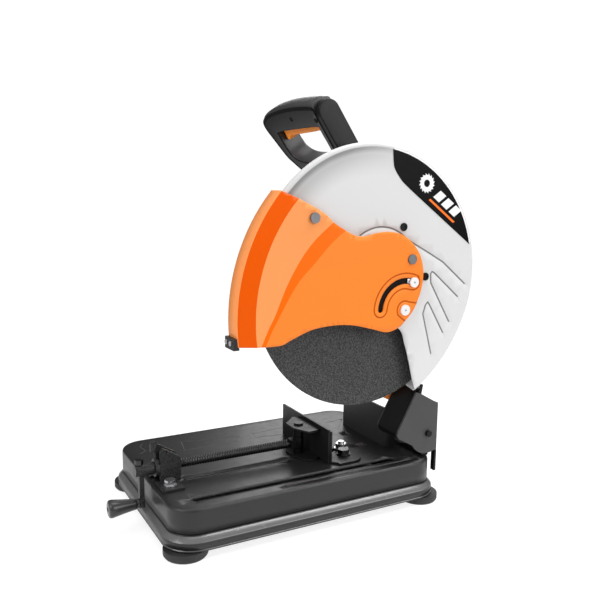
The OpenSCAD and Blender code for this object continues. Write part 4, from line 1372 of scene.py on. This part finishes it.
# ---------- stage and lights ----------
def make_stage():
    """A floor that glows evenly white except under the base, where the missing glow leaves painted shade, and
    fades out far away.
    """
    bm = bmesh.new()
    bmesh.ops.create_grid(bm, x_segments=1, y_segments=1, size=40)
    mesh = bpy.data.meshes.new("floor")
    bm.to_mesh(mesh)
    bm.free()
    floor = bpy.data.objects.new("floor", mesh)
    floor.location.z = cad_box[0].z - 0.0002
    bpy.context.scene.collection.objects.link(floor)
    look = Look("floor", (0.3, 0.3, 0.3), 0.7)
    look.set("Emission Color", (1, 1, 1, 1))
    from_base = look.vector("ABSOLUTE", look.vector("SUBTRACT", look.coords, (0, 0.02, 0)))
    apart = look.node("SeparateXYZ", from_base).outputs
    # painted shade under the base: no glow there, so the floor seen through the slots stays dark
    glow = look.math(
        "MAXIMUM", look.between(apart["X"], 0.1, 0.12, 0.0, 0.8),
        look.between(apart["Y"], 0.2, 0.215, 0.0, 0.8),
    )
    look.link(glow, look.shader.inputs["Emission Strength"])
    reach = look.vector("LENGTH", look.coords, out="Value")
    look.link(look.between(reach, 0.7, 1.6, 1.0, 0.0), look.shader.inputs["Alpha"])
    mesh.materials.append(look.material)


def area_light(name, position, target, size, power):
    """A square light, size metres across."""
    data = bpy.data.lights.new(name, "AREA")
    data.shape = "RECTANGLE"
    data.size = size
    data.size_y = size
    data.energy = power
    light = bpy.data.objects.new(name, data)
    light.location = position
    light.rotation_euler = (Vector(target) - Vector(position)).to_track_quat("-Z", "Y").to_euler()
    bpy.context.scene.collection.objects.link(light)


def make_world():
    """A white surround for the camera, and a dimmer one with a brighter top for the object."""
    world = bpy.data.worlds.new("studio")
    bpy.context.scene.world = world
    world.use_nodes = True
    world.node_tree.nodes.clear()
    graph = Graph(world.node_tree)
    direction = graph.node("TexCoord").outputs["Generated"]
    height = graph.node("SeparateXYZ", direction).outputs["Z"]
    sky = graph.ramp(height, (0.0, (0.3, 0.3, 0.3)), (0.6, (0.9, 0.9, 0.9)))
    towards_back = graph.vector("DOT_PRODUCT", direction, (-0.88, 0.48, 0), "Value")
    dimmed = graph.node("VectorMath", sky, operation="SCALE")
    graph.link(graph.between(towards_back, 0.2, 0.8, 1.0, 0.12), dimmed.inputs["Scale"])
    lit = graph.node("Background", dimmed.outputs["Vector"], 0.75)
    seen = graph.node("Background", (1, 1, 1, 1), 1.05)
    camera_ray = graph.node("LightPath").outputs["Is Camera Ray"]
    mix = graph.node("MixShader", camera_ray, lit.outputs["Background"], seen.outputs["Background"])
    graph.node("OutputWorld", mix.outputs["Shader"])


make_stage()
make_world()
area_light("key", (0.5, -1.9, 1.3), (0, 0, 0.3), 1.2, 20)
area_light("side", (1.9, 1.1, 1.0), (0, 0, 0.3), 1.2, 19)
area_light("top", (0, 0, 2.2), (0, 0, 0), 1.6, 12)
area_light("band", (0.3, 0.95, 1.85), (0.15, 0, 0.03), 0.9, 23)
area_light("back", (-1.5, 1.2, 1.2), (0, 0, 0.3), 1.2, 14)
bpy.context.scene.view_settings.view_transform = "Standard"
